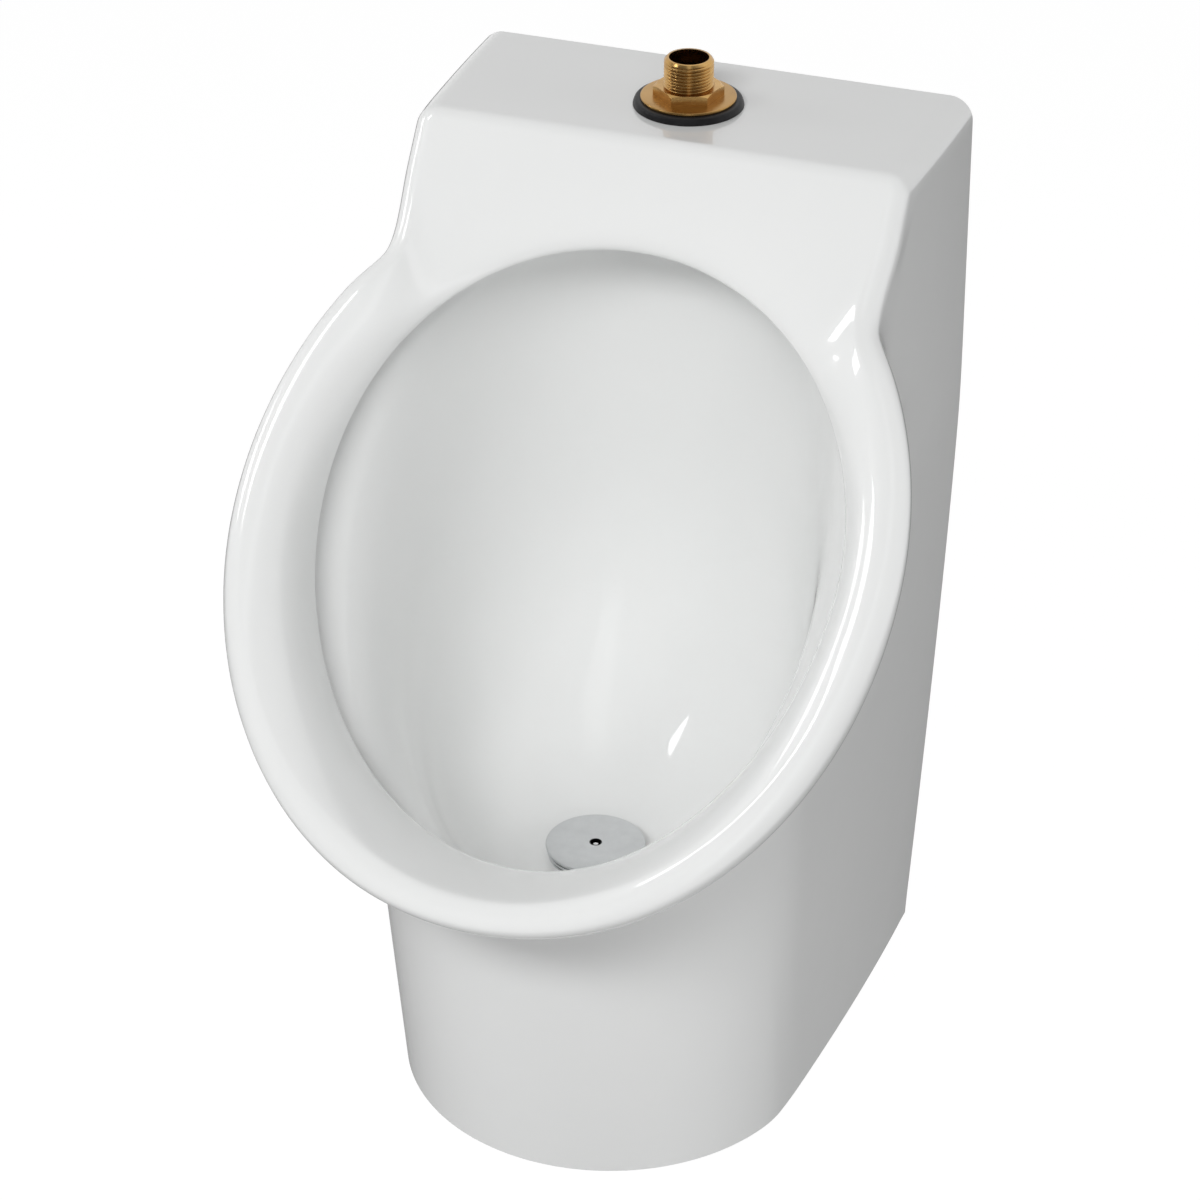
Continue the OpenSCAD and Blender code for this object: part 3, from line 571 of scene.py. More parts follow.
def cut(piece, tool, way="DIFFERENCE"):
    shaped(piece, ("BOOLEAN", {"operation": way, "solver": "MANIFOLD", "object": tool}))
    bpy.data.objects.remove(tool)
    return piece


def soft_edges(piece, angle):
    piece.data.shade_smooth()
    piece.data.set_sharp_from_angle(angle=radians(angle))


def floor_ring(i, share):
    well = bowl_ring(i, 1, 0)
    return vec(well[0] * share, mix(-drain_y, well[1], share), floor_z)


def edge_loops(bm):
    left = [edge for edge in bm.edges if edge.is_boundary]
    loops = []
    while left:
        first = left.pop(0)
        loop = [first.verts[0], first.verts[1]]
        while loop[-1] is not loop[0]:
            step = next(edge for edge in loop[-1].link_edges if edge in left)
            left.remove(step)
            loop.append(step.other_vert(loop[-1]))
        loops.append(loop[:-1])
    return loops


grid_step = 0.5
path_t = [1, 0.985, 0.95, 0.85, 0.7, 0.55, 0.4, 0.25, 0.12, 0]
under_t = [0.9, 0.8, 0.7, 0.6, 0.5, 0.4, 0.3, 0.2, 0.1]
roll_t = [q / 8 for q in range(9)]
band_t = [q / 10 for q in range(1, 10)] + [0.95, 0.985, 1]
bowl_t = [0.004, 0.01, 0.02, 0.03, 0.04, 0.055, 0.07, 0.085, 0.1, 0.12, 0.14]
bowl_t += [q / 28 for q in range(5, 29)]
half_stations = [q * grid_step for q in range(int(s_front / grid_step) + 1)]
half_rows = [[skin_path(i, t) for t in path_t] + [sweep_under(i, t) for t in under_t]
             + [roll(i, t) for t in roll_t] + [band(i, t) for t in band_t]
             + [undercut(i, t) for t in bowl_t] + [floor_ring(i, t) for t in (0.85, 0.7, 0.5)]
             for i in half_stations]
row_count = len(half_rows[0])
grid = half_rows + [[p * vec(-1, 1, 1) for p in row] for row in half_rows[-2:0:-1]]
round_count = len(grid)
skin_mesh = bpy.data.meshes.new("china_body_glazed")
skin_starts = [(k * row_count, (k + 1) % round_count * row_count) for k in range(round_count)]
skin_mesh.from_pydata([tuple(p / 1000) for row in grid for p in row], [], [
    (here + j, there + j, there + j + 1, here + j + 1)
    for here, there in skin_starts for j in range(row_count - 1)])
china = bpy.data.objects.new("china_body_glazed", skin_mesh)
bpy.context.collection.objects.link(china)
shaped(china, ("SUBSURF", {"levels": 1, "render_levels": 1, "use_limit_surface": False}))

# The smoothed skin is open at the wall, at the base and at the drain. Its edges are laid flat
# on those planes and closed.
bm = bmesh.new()
bm.from_mesh(china.data)
for loop in edge_loops(bm):
    if max(v.co.y for v in loop) < -0.1:
        bm.faces.new(loop)
        continue
    for v in loop:
        near_wall = -v.co.y < v.co.z
        at_corner = max(-v.co.y, v.co.z) < 0.005
        if near_wall or at_corner:
            v.co.y = 0
        if at_corner or not near_wall:
            v.co.z = 0
    start = next(q for q, v in enumerate(loop) if v.co.y == 0 and v.co.z == 0)
    loop = loop[start:] + loop[:start]
    bm.faces.new([v for v in loop if v.co.y == 0])
    bm.faces.new([v for v in loop if v.co.z == 0])
bmesh.ops.recalc_face_normals(bm, faces=bm.faces)
bm.to_mesh(china.data)
bm.free()

hollow_levels = [(1, 0.4, 0.8), (0.636, 0.5, 0.5), (0.482, 0.66, 0.2), (0.359, 0.95, 0), (0.303, 1, 0),
                 (0.149, 1, 0), (0, 1, 0)]
hollow_rings = []
for level, deep, thicker in hollow_levels:
    z = mix(bottom_t, hollow_top, level)
    t = china_t * (1 + thicker)
    half = []
    for q in range(11):
        p = skin(q / 10, z)
        half.append(vec(p[0] * (1 - t / side_x(0, z)), min(p[1] + t, 0) * deep, z))
    hollow_rings.append([vec(half[0][0], 1, z)] + half + [p * vec(-1, 1, 1) for p in half[-2::-1]]
                        + [vec(-half[0][0], 1, z)])
hollow = lofted("hollow", hollow_rings)
wall_rings = []
wall_from, wall_over, round_steps = 0.1, 1.1, 2 * s_front
for q in range(10):
    s = mix(wall_from, 1, q / 9)
    ring = []
    for k in range(round_steps):
        i = k if k <= s_front else round_steps - k
        p = bowl_ring(i, s, china_t * wall_over) * vec(1 if k <= s_front else -1, 1, 1)
        ring.append(p - vec(0, 0, china_t * s))
    wall_rings.append(ring)
cut(hollow, lofted("bowl_wall", wall_rings))

outlet_z, outlet_face, horn_bend, horn_wall = 98, 22, 34, 9
drain_d, hub_d, bolt_span, bolt_d, boss_t, lobe_r = 48, 74, 96, 8, 14, 15
bolt_hole_r, bolt_at = bolt_d / 2 + 0.5, bolt_span / 2


def horn(name, d, back):
    path = [(vec(0, -drain_y, floor_z + 1), 0)]
    path += [(vec(0, -drain_y + horn_bend - horn_bend * cosd(a), outlet_z + horn_bend - horn_bend * sind(a)), a)
             for a in range(0, 91, 6)]
    path.append((vec(0, -back, outlet_z), 90))
    return lofted(name, [[mid + d / 2 * (cosd(b) * vec(1, 0, 0) + sind(b) * vec(0, cosd(a), sind(a)))
                          for b in range(0, 360, 6)] for mid, a in path])


def plate_tool(name, d, y, t):
    plate = turned(name, [(d / 2, 0), (d / 2, t)], (0, -y, outlet_z), "-Y")
    for s in (-1, 1):
        cut(plate, turned("lobe", [(lobe_r, 0), (lobe_r, t)], (s * bolt_at, -y, outlet_z), "-Y"), "UNION")
    cut(plate, block("web", (-bolt_at, -y - t, outlet_z - lobe_r), (bolt_at, -y, outlet_z + lobe_r)), "UNION")
    return plate


cut(hollow, horn("horn_wall", drain_d + 2 * horn_wall, outlet_face))
cut(hollow, plate_tool("boss", hub_d, outlet_face, boss_t))

chamber_w, chamber_back, riser_half, riser_low = 230, china_t + 3, 46, 24
chamber_roof, chamber_floor = body_h - china_t, mouth_top_z + china_t + 3
rim_holes, rim_hole_r, rim_hole_span, rim_hole_back, rim_hole_low = 5, 4, 80, 22, 18
spud_y, spud_hole_d = 58.3, 35
room_wall = china_t / cosd(face_lean)
room_side = [(-chamber_back, chamber_floor), (-chamber_back, chamber_roof),
             (room_wall - face_d(chamber_roof, 0), chamber_roof),
             (room_wall - face_d(chamber_floor, 0), chamber_floor)]
chamber = lofted("chamber", [[vec(s * chamber_w / 2, y, z) for y, z in room_side] for s in (-1, 1)])
cut(chamber, block("riser", (-riser_half, china_t - bowl_back_y, hollow_top + riser_low),
                   (riser_half, -chamber_back, chamber_floor + 1)), "UNION")
rim_hole_top = chamber_floor - mouth_top_z + rim_hole_low + 1
for q in range(rim_holes):
    cut(chamber, turned("rim_hole", [(rim_hole_r, 0), (rim_hole_r, rim_hole_top)],
                        ((q / (rim_holes - 1) - 0.5) * rim_hole_span, -mouth_top_y + rim_hole_back,
                         mouth_top_z - rim_hole_low)), "UNION")
cut(chamber, turned("spud_hole", [(spud_hole_d / 2, 0), (spud_hole_d / 2, china_t + 2)],
                    (0, -spud_y, body_h - china_t - 1)), "UNION")
cut(hollow, chamber, "UNION")
cut(hollow, horn("horn_bore", drain_d, outlet_face - 1), "UNION")
for s in (-1, 1):
    cut(hollow, turned("bolt_hole", [(bolt_hole_r, 0), (bolt_hole_r, boss_t + 2)],
                       (s * bolt_at, 1 - outlet_face, outlet_z), "-Y"), "UNION")
hanger_x, rest_z, plate_h = 80, 470, 52
pocket_half, pocket_deep, pocket_lip, pocket_under, pocket_over = 22, 20, 9, 8, 17
for x in (-hanger_x, hanger_x):
    pocket = block("pocket", (x - pocket_half, -pocket_deep, rest_z - plate_h - pocket_under),
                   (x + pocket_half, 1, rest_z))
    cut(pocket, block("pocket_top", (x - pocket_half, -pocket_deep, rest_z - 1),
                      (x + pocket_half, -pocket_lip, rest_z + pocket_over)), "UNION")
    cut(hollow, pocket, "UNION")
cut(china, hollow)
sharp_over = 62
soft_edges(china, sharp_over)

glaze = bpy.data.materials.new("glazed_china")
glaze.use_nodes = True
glaze_nodes = glaze.node_tree
glaze_skin = glaze_nodes.nodes["Principled BSDF"]
glaze_skin.inputs["Roughness"].default_value = 0.32
glaze_skin.inputs["Coat Weight"].default_value = 1.0
glaze_skin.inputs["Coat Roughness"].default_value = 0.03
glaze_where = glaze_nodes.nodes.new("ShaderNodeTexCoord")
glaze_cloud = glaze_nodes.nodes.new("ShaderNodeTexNoise")
glaze_cloud.inputs["Scale"].default_value = 9
glaze_cloud.inputs["Detail"].default_value = 4
glaze_tone = glaze_nodes.nodes.new("ShaderNodeValToRGB")
glaze_tone.color_ramp.elements[0].color = (0.845, 0.855, 0.850, 1)
glaze_tone.color_ramp.elements[1].color = (0.885, 0.890, 0.885, 1)
glaze_wave = glaze_nodes.nodes.new("ShaderNodeTexNoise")
glaze_wave.inputs["Scale"].default_value = 30
glaze_wave.inputs["Detail"].default_value = 2
glaze_bump = glaze_nodes.nodes.new("ShaderNodeBump")
glaze_bump.inputs["Strength"].default_value = 0.03
glaze_bump.inputs["Distance"].default_value = 0.002
glaze_nodes.links.new(glaze_where.outputs["Object"], glaze_cloud.inputs["Vector"])
glaze_nodes.links.new(glaze_cloud.outputs["Fac"], glaze_tone.inputs["Fac"])
glaze_nodes.links.new(glaze_tone.outputs["Color"], glaze_skin.inputs["Base Color"])
glaze_nodes.links.new(glaze_where.outputs["Object"], glaze_wave.inputs["Vector"])
glaze_nodes.links.new(glaze_wave.outputs["Fac"], glaze_bump.inputs["Height"])
glaze_nodes.links.new(glaze_bump.outputs["Normal"], glaze_skin.inputs["Coat Normal"])
china.data.materials.clear()
china.data.materials.append(glaze)
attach(china, "urinal")
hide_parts("china_body")

# Spud gasket: black moulded rubber. Its flat top lies on the china, its neck fills the hole and
# the tube's flange squeezes its lower end wide.
gasket_d, gasket_t, neck_low, neck_bulge, shank_d = 59.3, 3.8, 6, 3, 27.2
spud_low = body_h - china_t - neck_low


def ringed(name, outline, place, way="Z", segments=96):
    n = len(outline)
    points = [(r * cos(2 * pi * k / segments) / 1000, r * sin(2 * pi * k / segments) / 1000, h / 1000)
              for k in range(segments) for r, h in outline]
    starts = [(k * n, (k + 1) % segments * n) for k in range(segments)]
    faces = [(here + q, there + q, there + (q + 1) % n, here + (q + 1) % n)
             for here, there in starts for q in range(n)]
    return placed(closed_mesh(name, points, faces), place, way)


def rounded(corners, steps=4):
    outline = []
    n = len(corners)
    for q, (x, y, r) in enumerate(corners):
        here = np.array((x, y), dtype=float)
        if r <= 0:
            outline.append((x, y))
            continue
        before = np.array(corners[q - 1][:2], dtype=float) - here
        after = np.array(corners[(q + 1) % n][:2], dtype=float) - here
        a, b = here + unit(before) * r, here + unit(after) * r
        for k in range(steps + 1):
            t = k / steps
            outline.append(tuple(a * (1 - t) ** 2 + here * 2 * t * (1 - t) + b * t * t))
    return outline


def node_paint(name, metal, rough, dark, light, grain, bump, stretch=(1, 1, 1)):
    paint = bpy.data.materials.new(name)
    paint.use_nodes = True
    tree = paint.node_tree
    skin_node = tree.nodes["Principled BSDF"]
    skin_node.inputs["Metallic"].default_value = metal
    where = tree.nodes.new("ShaderNodeTexCoord")
    scaled = tree.nodes.new("ShaderNodeMapping")
    scaled.inputs["Scale"].default_value = stretch
    cloud = tree.nodes.new("ShaderNodeTexNoise")
    cloud.inputs["Scale"].default_value = grain
    cloud.inputs["Detail"].default_value = 6
    tone = tree.nodes.new("ShaderNodeValToRGB")
    tone.color_ramp.elements[0].position = 0.3
    tone.color_ramp.elements[1].position = 0.7
    tone.color_ramp.elements[0].color = (*dark, 1)
    tone.color_ramp.elements[1].color = (*light, 1)
    worn = tree.nodes.new("ShaderNodeMapRange")
    worn.inputs["To Min"].default_value = rough - 0.06
    worn.inputs["To Max"].default_value = rough + 0.08
    relief = tree.nodes.new("ShaderNodeBump")
    relief.inputs["Strength"].default_value = bump
    relief.inputs["Distance"].default_value = 0.0004
    tree.links.new(where.outputs["Object"], scaled.inputs["Vector"])
    tree.links.new(scaled.outputs["Vector"], cloud.inputs["Vector"])
    tree.links.new(cloud.outputs["Fac"], tone.inputs["Fac"])
    tree.links.new(tone.outputs["Color"], skin_node.inputs["Base Color"])
    tree.links.new(cloud.outputs["Fac"], worn.inputs["Value"])
    tree.links.new(worn.outputs["Result"], skin_node.inputs["Roughness"])
    tree.links.new(cloud.outputs["Fac"], relief.inputs["Height"])
    tree.links.new(relief.outputs["Normal"], skin_node.inputs["Normal"])
    return paint


def dressed(piece, paint, node, body="urinal", angle=32):
    piece.data.materials.clear()
    piece.data.materials.append(paint)
    soft_edges(piece, angle)
    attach(piece, body)
    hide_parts(node)


gasket = ringed("spud_gasket_rubber", rounded([
    (shank_d / 2, spud_low, 0), (spud_hole_d / 2 + neck_bulge, spud_low, 1.5),
    (spud_hole_d / 2 + neck_bulge, spud_low + neck_low, 1.5), (spud_hole_d / 2, spud_low + neck_low, 0),
    (spud_hole_d / 2, body_h, 0), (gasket_d / 2, body_h, 0.8),
    (gasket_d / 2 - 1.2, body_h + gasket_t, 1.4), (shank_d / 2, body_h + gasket_t, 0)]), (0, -spud_y, 0))
rubber = node_paint("black_rubber", metal=0, rough=0.40, dark=(0.006, 0.006, 0.007),
                    light=(0.014, 0.014, 0.015), grain=180, bump=0.25)
rubber.node_tree.nodes["Principled BSDF"].inputs["Specular IOR Level"].default_value = 0.22
dressed(gasket, rubber, "spud_gasket")

# Spud friction ring: a brass disc stamped from sheet, laid on the rubber so that the locknut
# slides on it.
ring_d, ring_t, run = 51, 1.7, 0.06
ring_z = body_h + gasket_t
friction_ring = ringed("spud_friction_ring_brass", rounded([
    (shank_d / 2 + run, ring_z, 0), (ring_d / 2, ring_z, 0.4), (ring_d / 2, ring_z + ring_t, 0.7),
    (shank_d / 2 + run, ring_z + ring_t, 0.3)]), (0, -spud_y, 0))
disc_brass = node_paint("stamped_brass", metal=1, rough=0.28, dark=(0.38, 0.22, 0.075),
                        light=(0.50, 0.30, 0.105), grain=60, bump=0.12)
dressed(friction_ring, disc_brass, "spud_friction_ring")

# Spud locknut: a thin hexagon nut milled from brass bar, its corners turned off at the top. It
# is screwed down on the friction ring, and stands with one flat to the front right.
nut_corner_d, nut_h, nut_turn = 37.7, 5.7, 20
nut_z = ring_z + ring_t


def wrapped(name, levels, radius, bore, place, way="Z", segments=96):
    points = []
    for h in levels:
        for k in range(segments):
            a = 2 * pi * k / segments
            points.append((radius(a, h) * cos(a), radius(a, h) * sin(a), h))
    rows = len(levels)
    if bore:
        for h in (levels[-1], levels[0]):
            points += [(bore * cos(2 * pi * k / segments), bore * sin(2 * pi * k / segments), h)
                       for k in range(segments)]
        rows += 2
    faces = []
    for q in range(rows if bore else rows - 1):
        low, high = q * segments, (q + 1) % rows * segments
        faces += [(low + k, low + (k + 1) % segments, high + (k + 1) % segments, high + k)
                  for k in range(segments)]
    if not bore:
        faces += [tuple(range(segments)), tuple(range((rows - 1) * segments, rows * segments))]
    piece = closed_mesh(name, [(x / 1000, y / 1000, z / 1000) for x, y, z in points], faces)
    return placed(piece, place, way)


def hexagon(corner_r, height, top_only=False):
    flat_r = corner_r * cosd(30)

    def radius(a, h):
        side = flat_r / cos(a % (pi / 3) - pi / 6)
        ends = height - h if top_only else min(h, height - h)
        return min(side, flat_r * 1.03 + ends * 1.8)
    return radius


nut_levels = [0, 0.15, 2.5] + [4.1 + q * 0.1 for q in range(17)]
locknut = wrapped("spud_locknut_brass", nut_levels, hexagon(nut_corner_d / 2, nut_h, True), shank_d / 2 + run,
                  (0, 0, 0), segments=192)
locknut.data.transform(Matrix.Translation(vec(0, -spud_y, nut_z) / 1000)
                       @ Matrix.Rotation(radians(nut_turn), 4, "Z"))
nut_brass = node_paint("milled_brass", metal=1, rough=0.24, dark=(0.45, 0.265, 0.09), light=(0.60, 0.37, 0.135),
                       grain=90, bump=0.15, stretch=(1, 1, 6))
dressed(locknut, nut_brass, "spud_locknut", angle=25)

# Spud tube: the threaded brass stub that the flush valve screws on, turned from bar. The
# flange on its lower end holds it up under the china.
spud_d, spud_wall, spud_rise, foot_d, foot_t = 26.44, 2.6, 15.5, 33, 3
thread_low = nut_z + nut_h
tube_top = thread_low + spud_rise
pipe_pitch, pipe_depth = 1.814, 0.95


def thread_groove(a, h, pitch, steep, crest):
    turn = (h / pitch - a / (2 * pi)) % 1
    return min(max(abs(2 * turn - 1) * steep - crest, 0), 1)


def spud_radius(a, h):
    if h < spud_low:
        return foot_d / 2
    if h < thread_low:
        return shank_d / 2
    groove = thread_groove(a, h, pipe_pitch, 1.35, 0.2)
    start = min(max(tube_top - h - 0.6, 0), 1)
    return min(spud_d / 2 - pipe_depth * groove * start, spud_d / 2 - 1.5 + (tube_top - h) * 0.9)


tube_levels = [spud_low - foot_t, spud_low - 0.02, spud_low, thread_low - 0.02]
tube_levels += [thread_low + q * spud_rise / 120 for q in range(121)]
spud_tube = wrapped("spud_tube_brass", tube_levels, spud_radius, spud_d / 2 - spud_wall, (0, -spud_y, 0))
tube_brass = node_paint("turned_brass", metal=1, rough=0.20, dark=(0.44, 0.26, 0.09), light=(0.62, 0.385, 0.14),
                        grain=70, bump=0.12, stretch=(1, 1, 10))
dressed(spud_tube, tube_brass, "spud_tube", angle=50)

# Strainer base: a flanged ring pressed from stainless steel, set in the drain, with a cross bar
# tapped for the screw.
base_ring_d, sieve_t, seat, bar_w, bar_t, boss_d, screw_d = 52, 1.3, 0.2, 7, 8, 12, 4
bar_z = floor_z - 14
drain = (0, -drain_y, 0)
strainer_base = ringed("strainer_base_steel", rounded([
    (drain_d / 2 - 2.5, bar_z, 0.4), (drain_d / 2 - 0.5, bar_z, 0.4), (drain_d / 2 - 0.5, floor_z, 0),
    (base_ring_d / 2, floor_z, 0.3), (base_ring_d / 2, floor_z + sieve_t, 0.4),
    (drain_d / 2 - 2.5, floor_z + sieve_t, 0.5)]), drain)
cross_bar = block("cross_bar", (-drain_d / 2 + 2, -drain_y - bar_w / 2, bar_z),
                  (drain_d / 2 - 2, -drain_y + bar_w / 2, bar_z + bar_t))
cut(cross_bar, turned("bar_boss", [(boss_d / 2, bar_z), (boss_d / 2, bar_z + bar_t)], drain), "UNION")
cut(cross_bar, turned("bar_hole", [(screw_d / 2 + run, bar_z - 1), (screw_d / 2 + run, bar_z + bar_t + 1)],
                      drain))
cut(strainer_base, cross_bar, "UNION")
satin_steel = node_paint("satin_steel", metal=1, rough=0.36, dark=(0.66, 0.67, 0.68), light=(0.72, 0.73, 0.74),
                         grain=140, bump=0.10)
dressed(strainer_base, satin_steel, "strainer_base")

# Strainer slotted ring: a flat ring stamped from stainless steel on short welded ribs, which
# leave one row of slots. It lies on the strainer base.
sieve_d, cover_d, cover_t, slot_h, slot_ribs, rib_w, rib_in = 53.6, 55, 2, 1.5, 8, 3, 15
sieve_z = floor_z + sieve_t + seat
cover_z = sieve_z + slot_h + sieve_t


def with_ribs(piece, z, d):
    for k in range(slot_ribs):
        rib = block("rib", (rib_in, -rib_w / 2, z), (d / 2 - 1, rib_w / 2, z + slot_h + 0.2))
        rib.data.transform(Matrix.Translation(Vector(drain) / 1000)
                           @ Matrix.Rotation(2 * pi * (k + 0.5) / slot_ribs, 4, "Z"))
        cut(piece, rib, "UNION")
    return piece


slotted_ring = ringed("strainer_slotted_ring_steel", rounded([
    (rib_in - 1, sieve_z + slot_h, 0.3), (sieve_d / 2, sieve_z + slot_h, 0.4),
    (sieve_d / 2, sieve_z + slot_h + sieve_t, 0.4), (rib_in - 1, sieve_z + slot_h + sieve_t, 0.3)]), drain)
with_ribs(slotted_ring, sieve_z, sieve_d - 1.6)
dressed(slotted_ring, satin_steel, "strainer_slotted_ring", "strainer")

# Strainer cover: a round stainless plate with a soft edge and a sunk hole for the screw, on
# ribs of its own and a central boss.
cover_top = cover_z + slot_h + cover_t
screw_head_d, screw_head_h, screw_sunk = 5.8, 3, 0.8
boss_low = floor_z + sieve_t + seat
head_z = cover_top - screw_head_h - screw_sunk
cover = ringed("strainer_cover_steel", rounded([
    (screw_d / 2 + run, boss_low, 0), (boss_d / 2, boss_low, 0.3), (boss_d / 2, cover_z + slot_h, 0),
    (cover_d / 2, cover_z + slot_h, 0.5), (cover_d / 2, cover_top - 0.35, 0.7),
    (cover_d / 2 - 6, cover_top - 0.02, 2), (screw_head_d / 2 + run, cover_top, 0.25),
    (screw_head_d / 2 + run, head_z, 0), (screw_d / 2 + run, head_z, 0)]), drain)
with_ribs(cover, cover_z, sieve_d)


# Makes a material's colour dark by its distance from the drain's axis: painted shade, not a stain on the steel.
def paint_shade_round_axis(paint, unshaded_r, shaded_r, dark):
    tree = paint.node_tree
    skin_node = tree.nodes["Principled BSDF"]
    where = next(node for node in tree.nodes if node.type == "TEX_COORD")
    tone = next(node for node in tree.nodes if node.type == "VALTORGB")
    from_axis = tree.nodes.new("ShaderNodeVectorMath")
    from_axis.operation = "MULTIPLY_ADD"
    from_axis.inputs[1].default_value = (1, 1, 0)
    from_axis.inputs[2].default_value = (0, drain_y / 1000, 0)
    radius = tree.nodes.new("ShaderNodeVectorMath")
    radius.operation = "LENGTH"
    share = tree.nodes.new("ShaderNodeMapRange")
    share.interpolation_type = "SMOOTHSTEP"
    share.inputs["From Min"].default_value = unshaded_r / 1000
    share.inputs["From Max"].default_value = shaded_r / 1000
    painted_shade = tree.nodes.new("ShaderNodeMix")
    painted_shade.data_type = "RGBA"
    painted_shade.inputs["B"].default_value = (*dark, 1)
    tree.links.new(where.outputs["Object"], from_axis.inputs[0])
    tree.links.new(from_axis.outputs[0], radius.inputs[0])
    tree.links.new(radius.outputs["Value"], share.inputs["Value"])
    tree.links.new(share.outputs["Result"], painted_shade.inputs["Factor"])
    tree.links.new(tone.outputs["Color"], painted_shade.inputs["A"])
    tree.links.new(painted_shade.outputs["Result"], skin_node.inputs["Base Color"])


cover_steel_painted_shade = satin_steel.copy()
cover_steel_painted_shade.name = "cover_steel_painted_shade"
# Painted shade: the cover's colour turns dark in and round the sunk screw hole, where the deep hole lies in
# shadow.
paint_shade_round_axis(cover_steel_painted_shade, 3.7, 3.2, (0.02, 0.02, 0.02))
dressed(cover, cover_steel_painted_shade, "strainer_cover", "strainer")

# Strainer screw: bright steel with a low dome, sunk in the cover. It turns in the cross bar of
# the strainer base and holds the cover and the slotted ring down.
screw_play, screw_rim, screw_end, screw_point = 0.03, 1.2, 2, 0.4
head_r, shaft_r = screw_head_d / 2, screw_d / 2
screw_outline = [(0.01, bar_z - screw_end), (shaft_r - screw_point, bar_z - screw_end), (shaft_r, bar_z - 1.4),
                 (shaft_r, head_z + screw_play), (head_r - 0.15, head_z + screw_play), (head_r, head_z + 0.15),
                 (head_r, head_z + screw_rim)]
screw_outline += [(head_r * cosd(a) + 0.01, head_z + screw_rim + (screw_head_h - screw_rim) * sind(a))
                  for a in range(10, 91, 10)]
screw = turned("strainer_screw_steel", screw_outline, drain, segments=48)
bright_steel = node_paint("bright_steel", metal=1, rough=0.14, dark=(0.80, 0.80, 0.81),
                          light=(0.88, 0.88, 0.89), grain=200, bump=0.05)
# Painted shade: the screw's colour turns dark away from the top of its dome, so only a small bright top is left.
paint_shade_round_axis(bright_steel, 1.0, 1.7, (0.02, 0.02, 0.02))
dressed(screw, bright_steel, "strainer_screw", "strainer_screw")

# Outlet gasket: a flat black rubber ring with rounded edges, squeezed between the china's rear
# boss and the flange.
outlet_gasket_t = 3
flange_y = outlet_face - outlet_gasket_t
waterway_d = drain_d + 4
outlet_gasket = ringed("outlet_gasket_rubber", rounded([
    (waterway_d / 2, 0, 0.9), (hub_d / 2, 0, 0.9), (hub_d / 2, outlet_gasket_t, 0.9),
    (waterway_d / 2, outlet_gasket_t, 0.9)]), (0, -flange_y, outlet_z), "-Y")
dressed(outlet_gasket, rubber, "outlet_gasket")

# Outlet flange: grey cast iron with two bolt lobes and a hub, its edges soft from the sand
# mould. The hub is tapped with a 2 inch pipe thread for the waste pipe.
flange_t, hub_gap, outlet_thread_d, outlet_thread_l = 7, 1, 58.2, 15
flange_back = flange_y - hub_gap
hub_end = flange_back - flange_t
iron_pitch, iron_depth = 2.209, 1.1


def eared_radius(a):
    c, s = abs(cos(a)), abs(sin(a))
    away = bolt_span / 2
    reach = hub_d / 2
    if s * away < lobe_r:
        reach = max(reach, away * c + sqrt(lobe_r ** 2 - (away * s) ** 2))
    if s > 0 and lobe_r / s * c < away:
        reach = max(reach, lobe_r / s)
    return reach


def flange_radius(a, h):
    hub = hub_d / 2 - 2 - 1.2 * max(0, 1 - h / 1.2) ** 2
    if h < hub_end - 2:
        return hub
    if h < hub_end:
        return hub + 2 * (1 - sqrt(max(0, 1 - ((h - hub_end + 2) / 2) ** 2)))
    low, high = h - hub_end, flange_back - h
    edge = max(0, 1 - low / 1.5) ** 2 * 1.5 + max(0, 1 - high / 0.8) ** 2 * 0.8
    return max(hub, eared_radius(a) - edge)


flange_levels = [0, 0.3, 0.7, 1.2, 3, 6]
flange_levels += [hub_end + h for h in (-2, -1.5, -1, -0.5, -0.15, 0, 0.2, 0.5, 0.9, 1.5)]
flange_levels += [flange_back - h for h in (0.8, 0.5, 0.2, 0)]
flange_place = (0, -hub_gap, outlet_z)
outlet_flange = wrapped("outlet_flange_iron", flange_levels, flange_radius, waterway_d / 2, flange_place,
                        "-Y", 240)


def outlet_thread(a, h):
    mouth_r = max(0, 1.6 - h) * 0.5 if h > -0.5 else 1.05
    return outlet_thread_d / 2 - iron_depth * thread_groove(a, h, iron_pitch, 1.4, 0.2) + mouth_r


thread_levels = [-1 + q * 0.2 for q in range(int((outlet_thread_l + 1) * 5) + 1)]
cut(outlet_flange, wrapped("outlet_thread", thread_levels, outlet_thread, 0, flange_place, "-Y", 96))
for s in (-1, 1):
    cut(outlet_flange, turned("flange_hole", [(bolt_hole_r, hub_end - 1), (bolt_hole_r, flange_back + 1)],
                              (s * bolt_at, -hub_gap, outlet_z), "-Y", 48))
iron = node_paint("cast_iron", metal=0.85, rough=0.52, dark=(0.075, 0.075, 0.078), light=(0.125, 0.125, 0.128),
                  grain=260, bump=0.55)
dressed(outlet_flange, iron, "outlet_flange", angle=28)

# Outlet bolts: two square-headed steel bolts with rolled threads. Their heads lie behind the
# china's boss, inside the hollow back.
washer_t, bolt_nut_h, bolt_end, bolt_pitch = 1.6, 6.5, 1.5, 1.25
bolt_depth, thread_end = 0.62, 24
washer_y = flange_y - flange_t - washer_t
bolt_low = washer_y - bolt_nut_h - bolt_end
head_y = outlet_face + boss_t
head_w, head_t = 14.4, 4.5


def bolt_radius(a, h):
    if h < head_y - bolt_low:
        groove = thread_groove(a, h, bolt_pitch, 1.3, 0.15) * min(max((thread_end - h) / 1.5, 0), 1)
        return min(bolt_d / 2 - bolt_depth * groove, bolt_d / 2 - 1 + h)
    low, high = h - (head_y - bolt_low), head_y - bolt_low + head_t - h
    square = head_w / 2 / cos(a % (pi / 2) - (pi / 2 if a % (pi / 2) > pi / 4 else 0))
    return min(square, head_w * 0.64 + min(low, high) * 0.6)


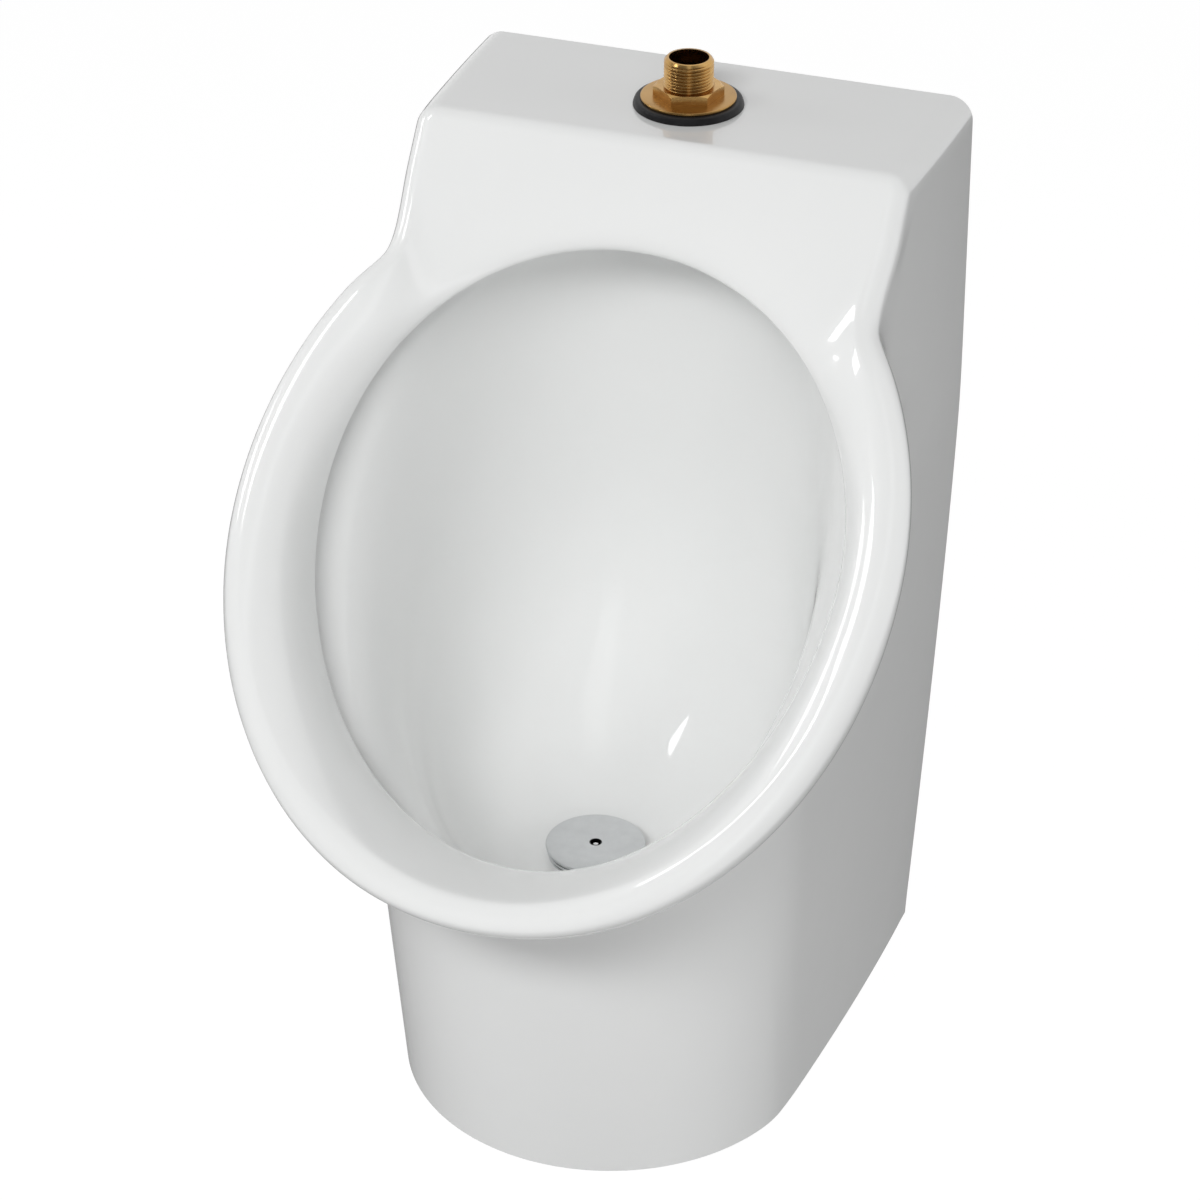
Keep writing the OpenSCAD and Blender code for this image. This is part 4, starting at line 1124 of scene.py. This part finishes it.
bolt_levels = [q * 0.16 for q in range(157)] + [head_y - bolt_low - 0.02]
bolt_levels += [head_y - bolt_low + q for q in (0, 0.4, 1.0, 3.2, 3.8, 4.2, head_t)]
bolts = [wrapped("outlet_bolts_steel", bolt_levels, bolt_radius, 0, (s * bolt_at, -bolt_low, outlet_z), "-Y", 72)
         for s in (-1, 1)]
cut(bolts[0], bolts[1], "UNION")
zinc = node_paint("zinc_plating", metal=1, rough=0.30, dark=(0.50, 0.51, 0.53), light=(0.66, 0.67, 0.68),
                  grain=120, bump=0.12)
dressed(bolts[0], zinc, "outlet_bolts", angle=40)

# Outlet washers: zinc-plated steel discs, stamped so that one edge is rounded. One lies under
# each nut, on the flange's lobe.
washer_d = 16.8
washers = [ringed("outlet_washers_steel", rounded([
    (bolt_d / 2 + run, 0, 0.25), (washer_d / 2, 0, 0.35), (washer_d / 2, washer_t, 0.15),
    (bolt_d / 2 + run, washer_t, 0.1)]), (s * bolt_at, -washer_y, outlet_z), "-Y", 64) for s in (-1, 1)]
cut(washers[0], washers[1], "UNION")
dressed(washers[0], zinc, "outlet_washers")

# Outlet nuts: cold-formed hexagon nuts of zinc-plated steel, turned round at both ends. They
# draw the flange and its gasket against the china's boss.
bolt_nut_d = 14.8
nuts = [wrapped("outlet_nuts_steel", [0, 0.15, 0.4, 0.7, 1, 3.2, 5.5, 5.8, 6.1, 6.35, bolt_nut_h],
                hexagon(bolt_nut_d / 2, bolt_nut_h), bolt_d / 2 + run,
                (s * bolt_at, bolt_nut_h - washer_y, outlet_z), "-Y", 96) for s in (-1, 1)]
cut(nuts[0], nuts[1], "UNION")
dressed(nuts[0], zinc, "outlet_nuts", angle=25)

# Wall hangers: two straps of galvanised steel, bent so that the tongue hooks up behind the lip
# of the china's pocket. Each is fixed to the wall by two screws.
hanger_w, hanger_t, hook_out, hook_rise, hanger_hole_d, hole_span = 36, 3, 13, 14, 6.5, 24
bend_out, bend_in, strap_edge = 3.4, 0.8, 0.4
hook_front, hook_top = -hook_out - hanger_t, rest_z + hook_rise
strap = rounded([(0, rest_z - plate_h, strap_edge), (0, rest_z, bend_out), (-hook_out, rest_z, bend_in),
                 (-hook_out, hook_top, strap_edge), (hook_front, hook_top, strap_edge),
                 (hook_front, rest_z - hanger_t, bend_out), (-hanger_t, rest_z - hanger_t, bend_in),
                 (-hanger_t, rest_z - plate_h, strap_edge)], 6)


def drawn_in(outline, by):
    n = len(outline)
    inner = []
    for q in range(n):
        a, b = np.array(outline[q - 1]), np.array(outline[(q + 1) % n])
        along = (b - a) / np.linalg.norm(b - a)
        inner.append((outline[q][0] - along[1] * by, outline[q][1] + along[0] * by))
    return inner


edge_steps = [(-1, 0, 0.35), (-1, 0.12, 0.12), (-1, 0.35, 0), (1, 0.35, 0), (1, 0.12, 0.12), (1, 0, 0.35)]
for name, x in (("left", -hanger_x), ("right", hanger_x)):
    hanger = lofted("wall_hanger_%s_steel" % name, [
        [vec(x + side * (hanger_w / 2 - gap), y, z) for y, z in drawn_in(strap, by)]
        for side, gap, by in edge_steps])
    left, right, low, high = x - hanger_w / 2, x + hanger_w / 2, rest_z - plate_h, rest_z + hook_rise
    corners = rounded([(left, low, 5), (right, low, 5), (right, high, 4), (left, high, 4)], 8)
    cut(hanger, lofted("hanger_corners", [[vec(cx, y, cz) for cx, cz in corners] for y in (-25, 2)]),
        "INTERSECT")
    for s in (-1, 1):
        cut(hanger, turned("hanger_hole", [(hanger_hole_d / 2, -1), (hanger_hole_d / 2, hanger_t + 1)],
                           (x, 0, rest_z - plate_h / 2 + s * hole_span / 2), "-Y", 48))
    galvanised = node_paint("galvanised_%s" % name, metal=1, rough=0.40, dark=(0.46, 0.47, 0.48),
                            light=(0.60, 0.61, 0.62), grain=55, bump=0.18)
    dressed(hanger, galvanised, "wall_hanger_%s" % name)
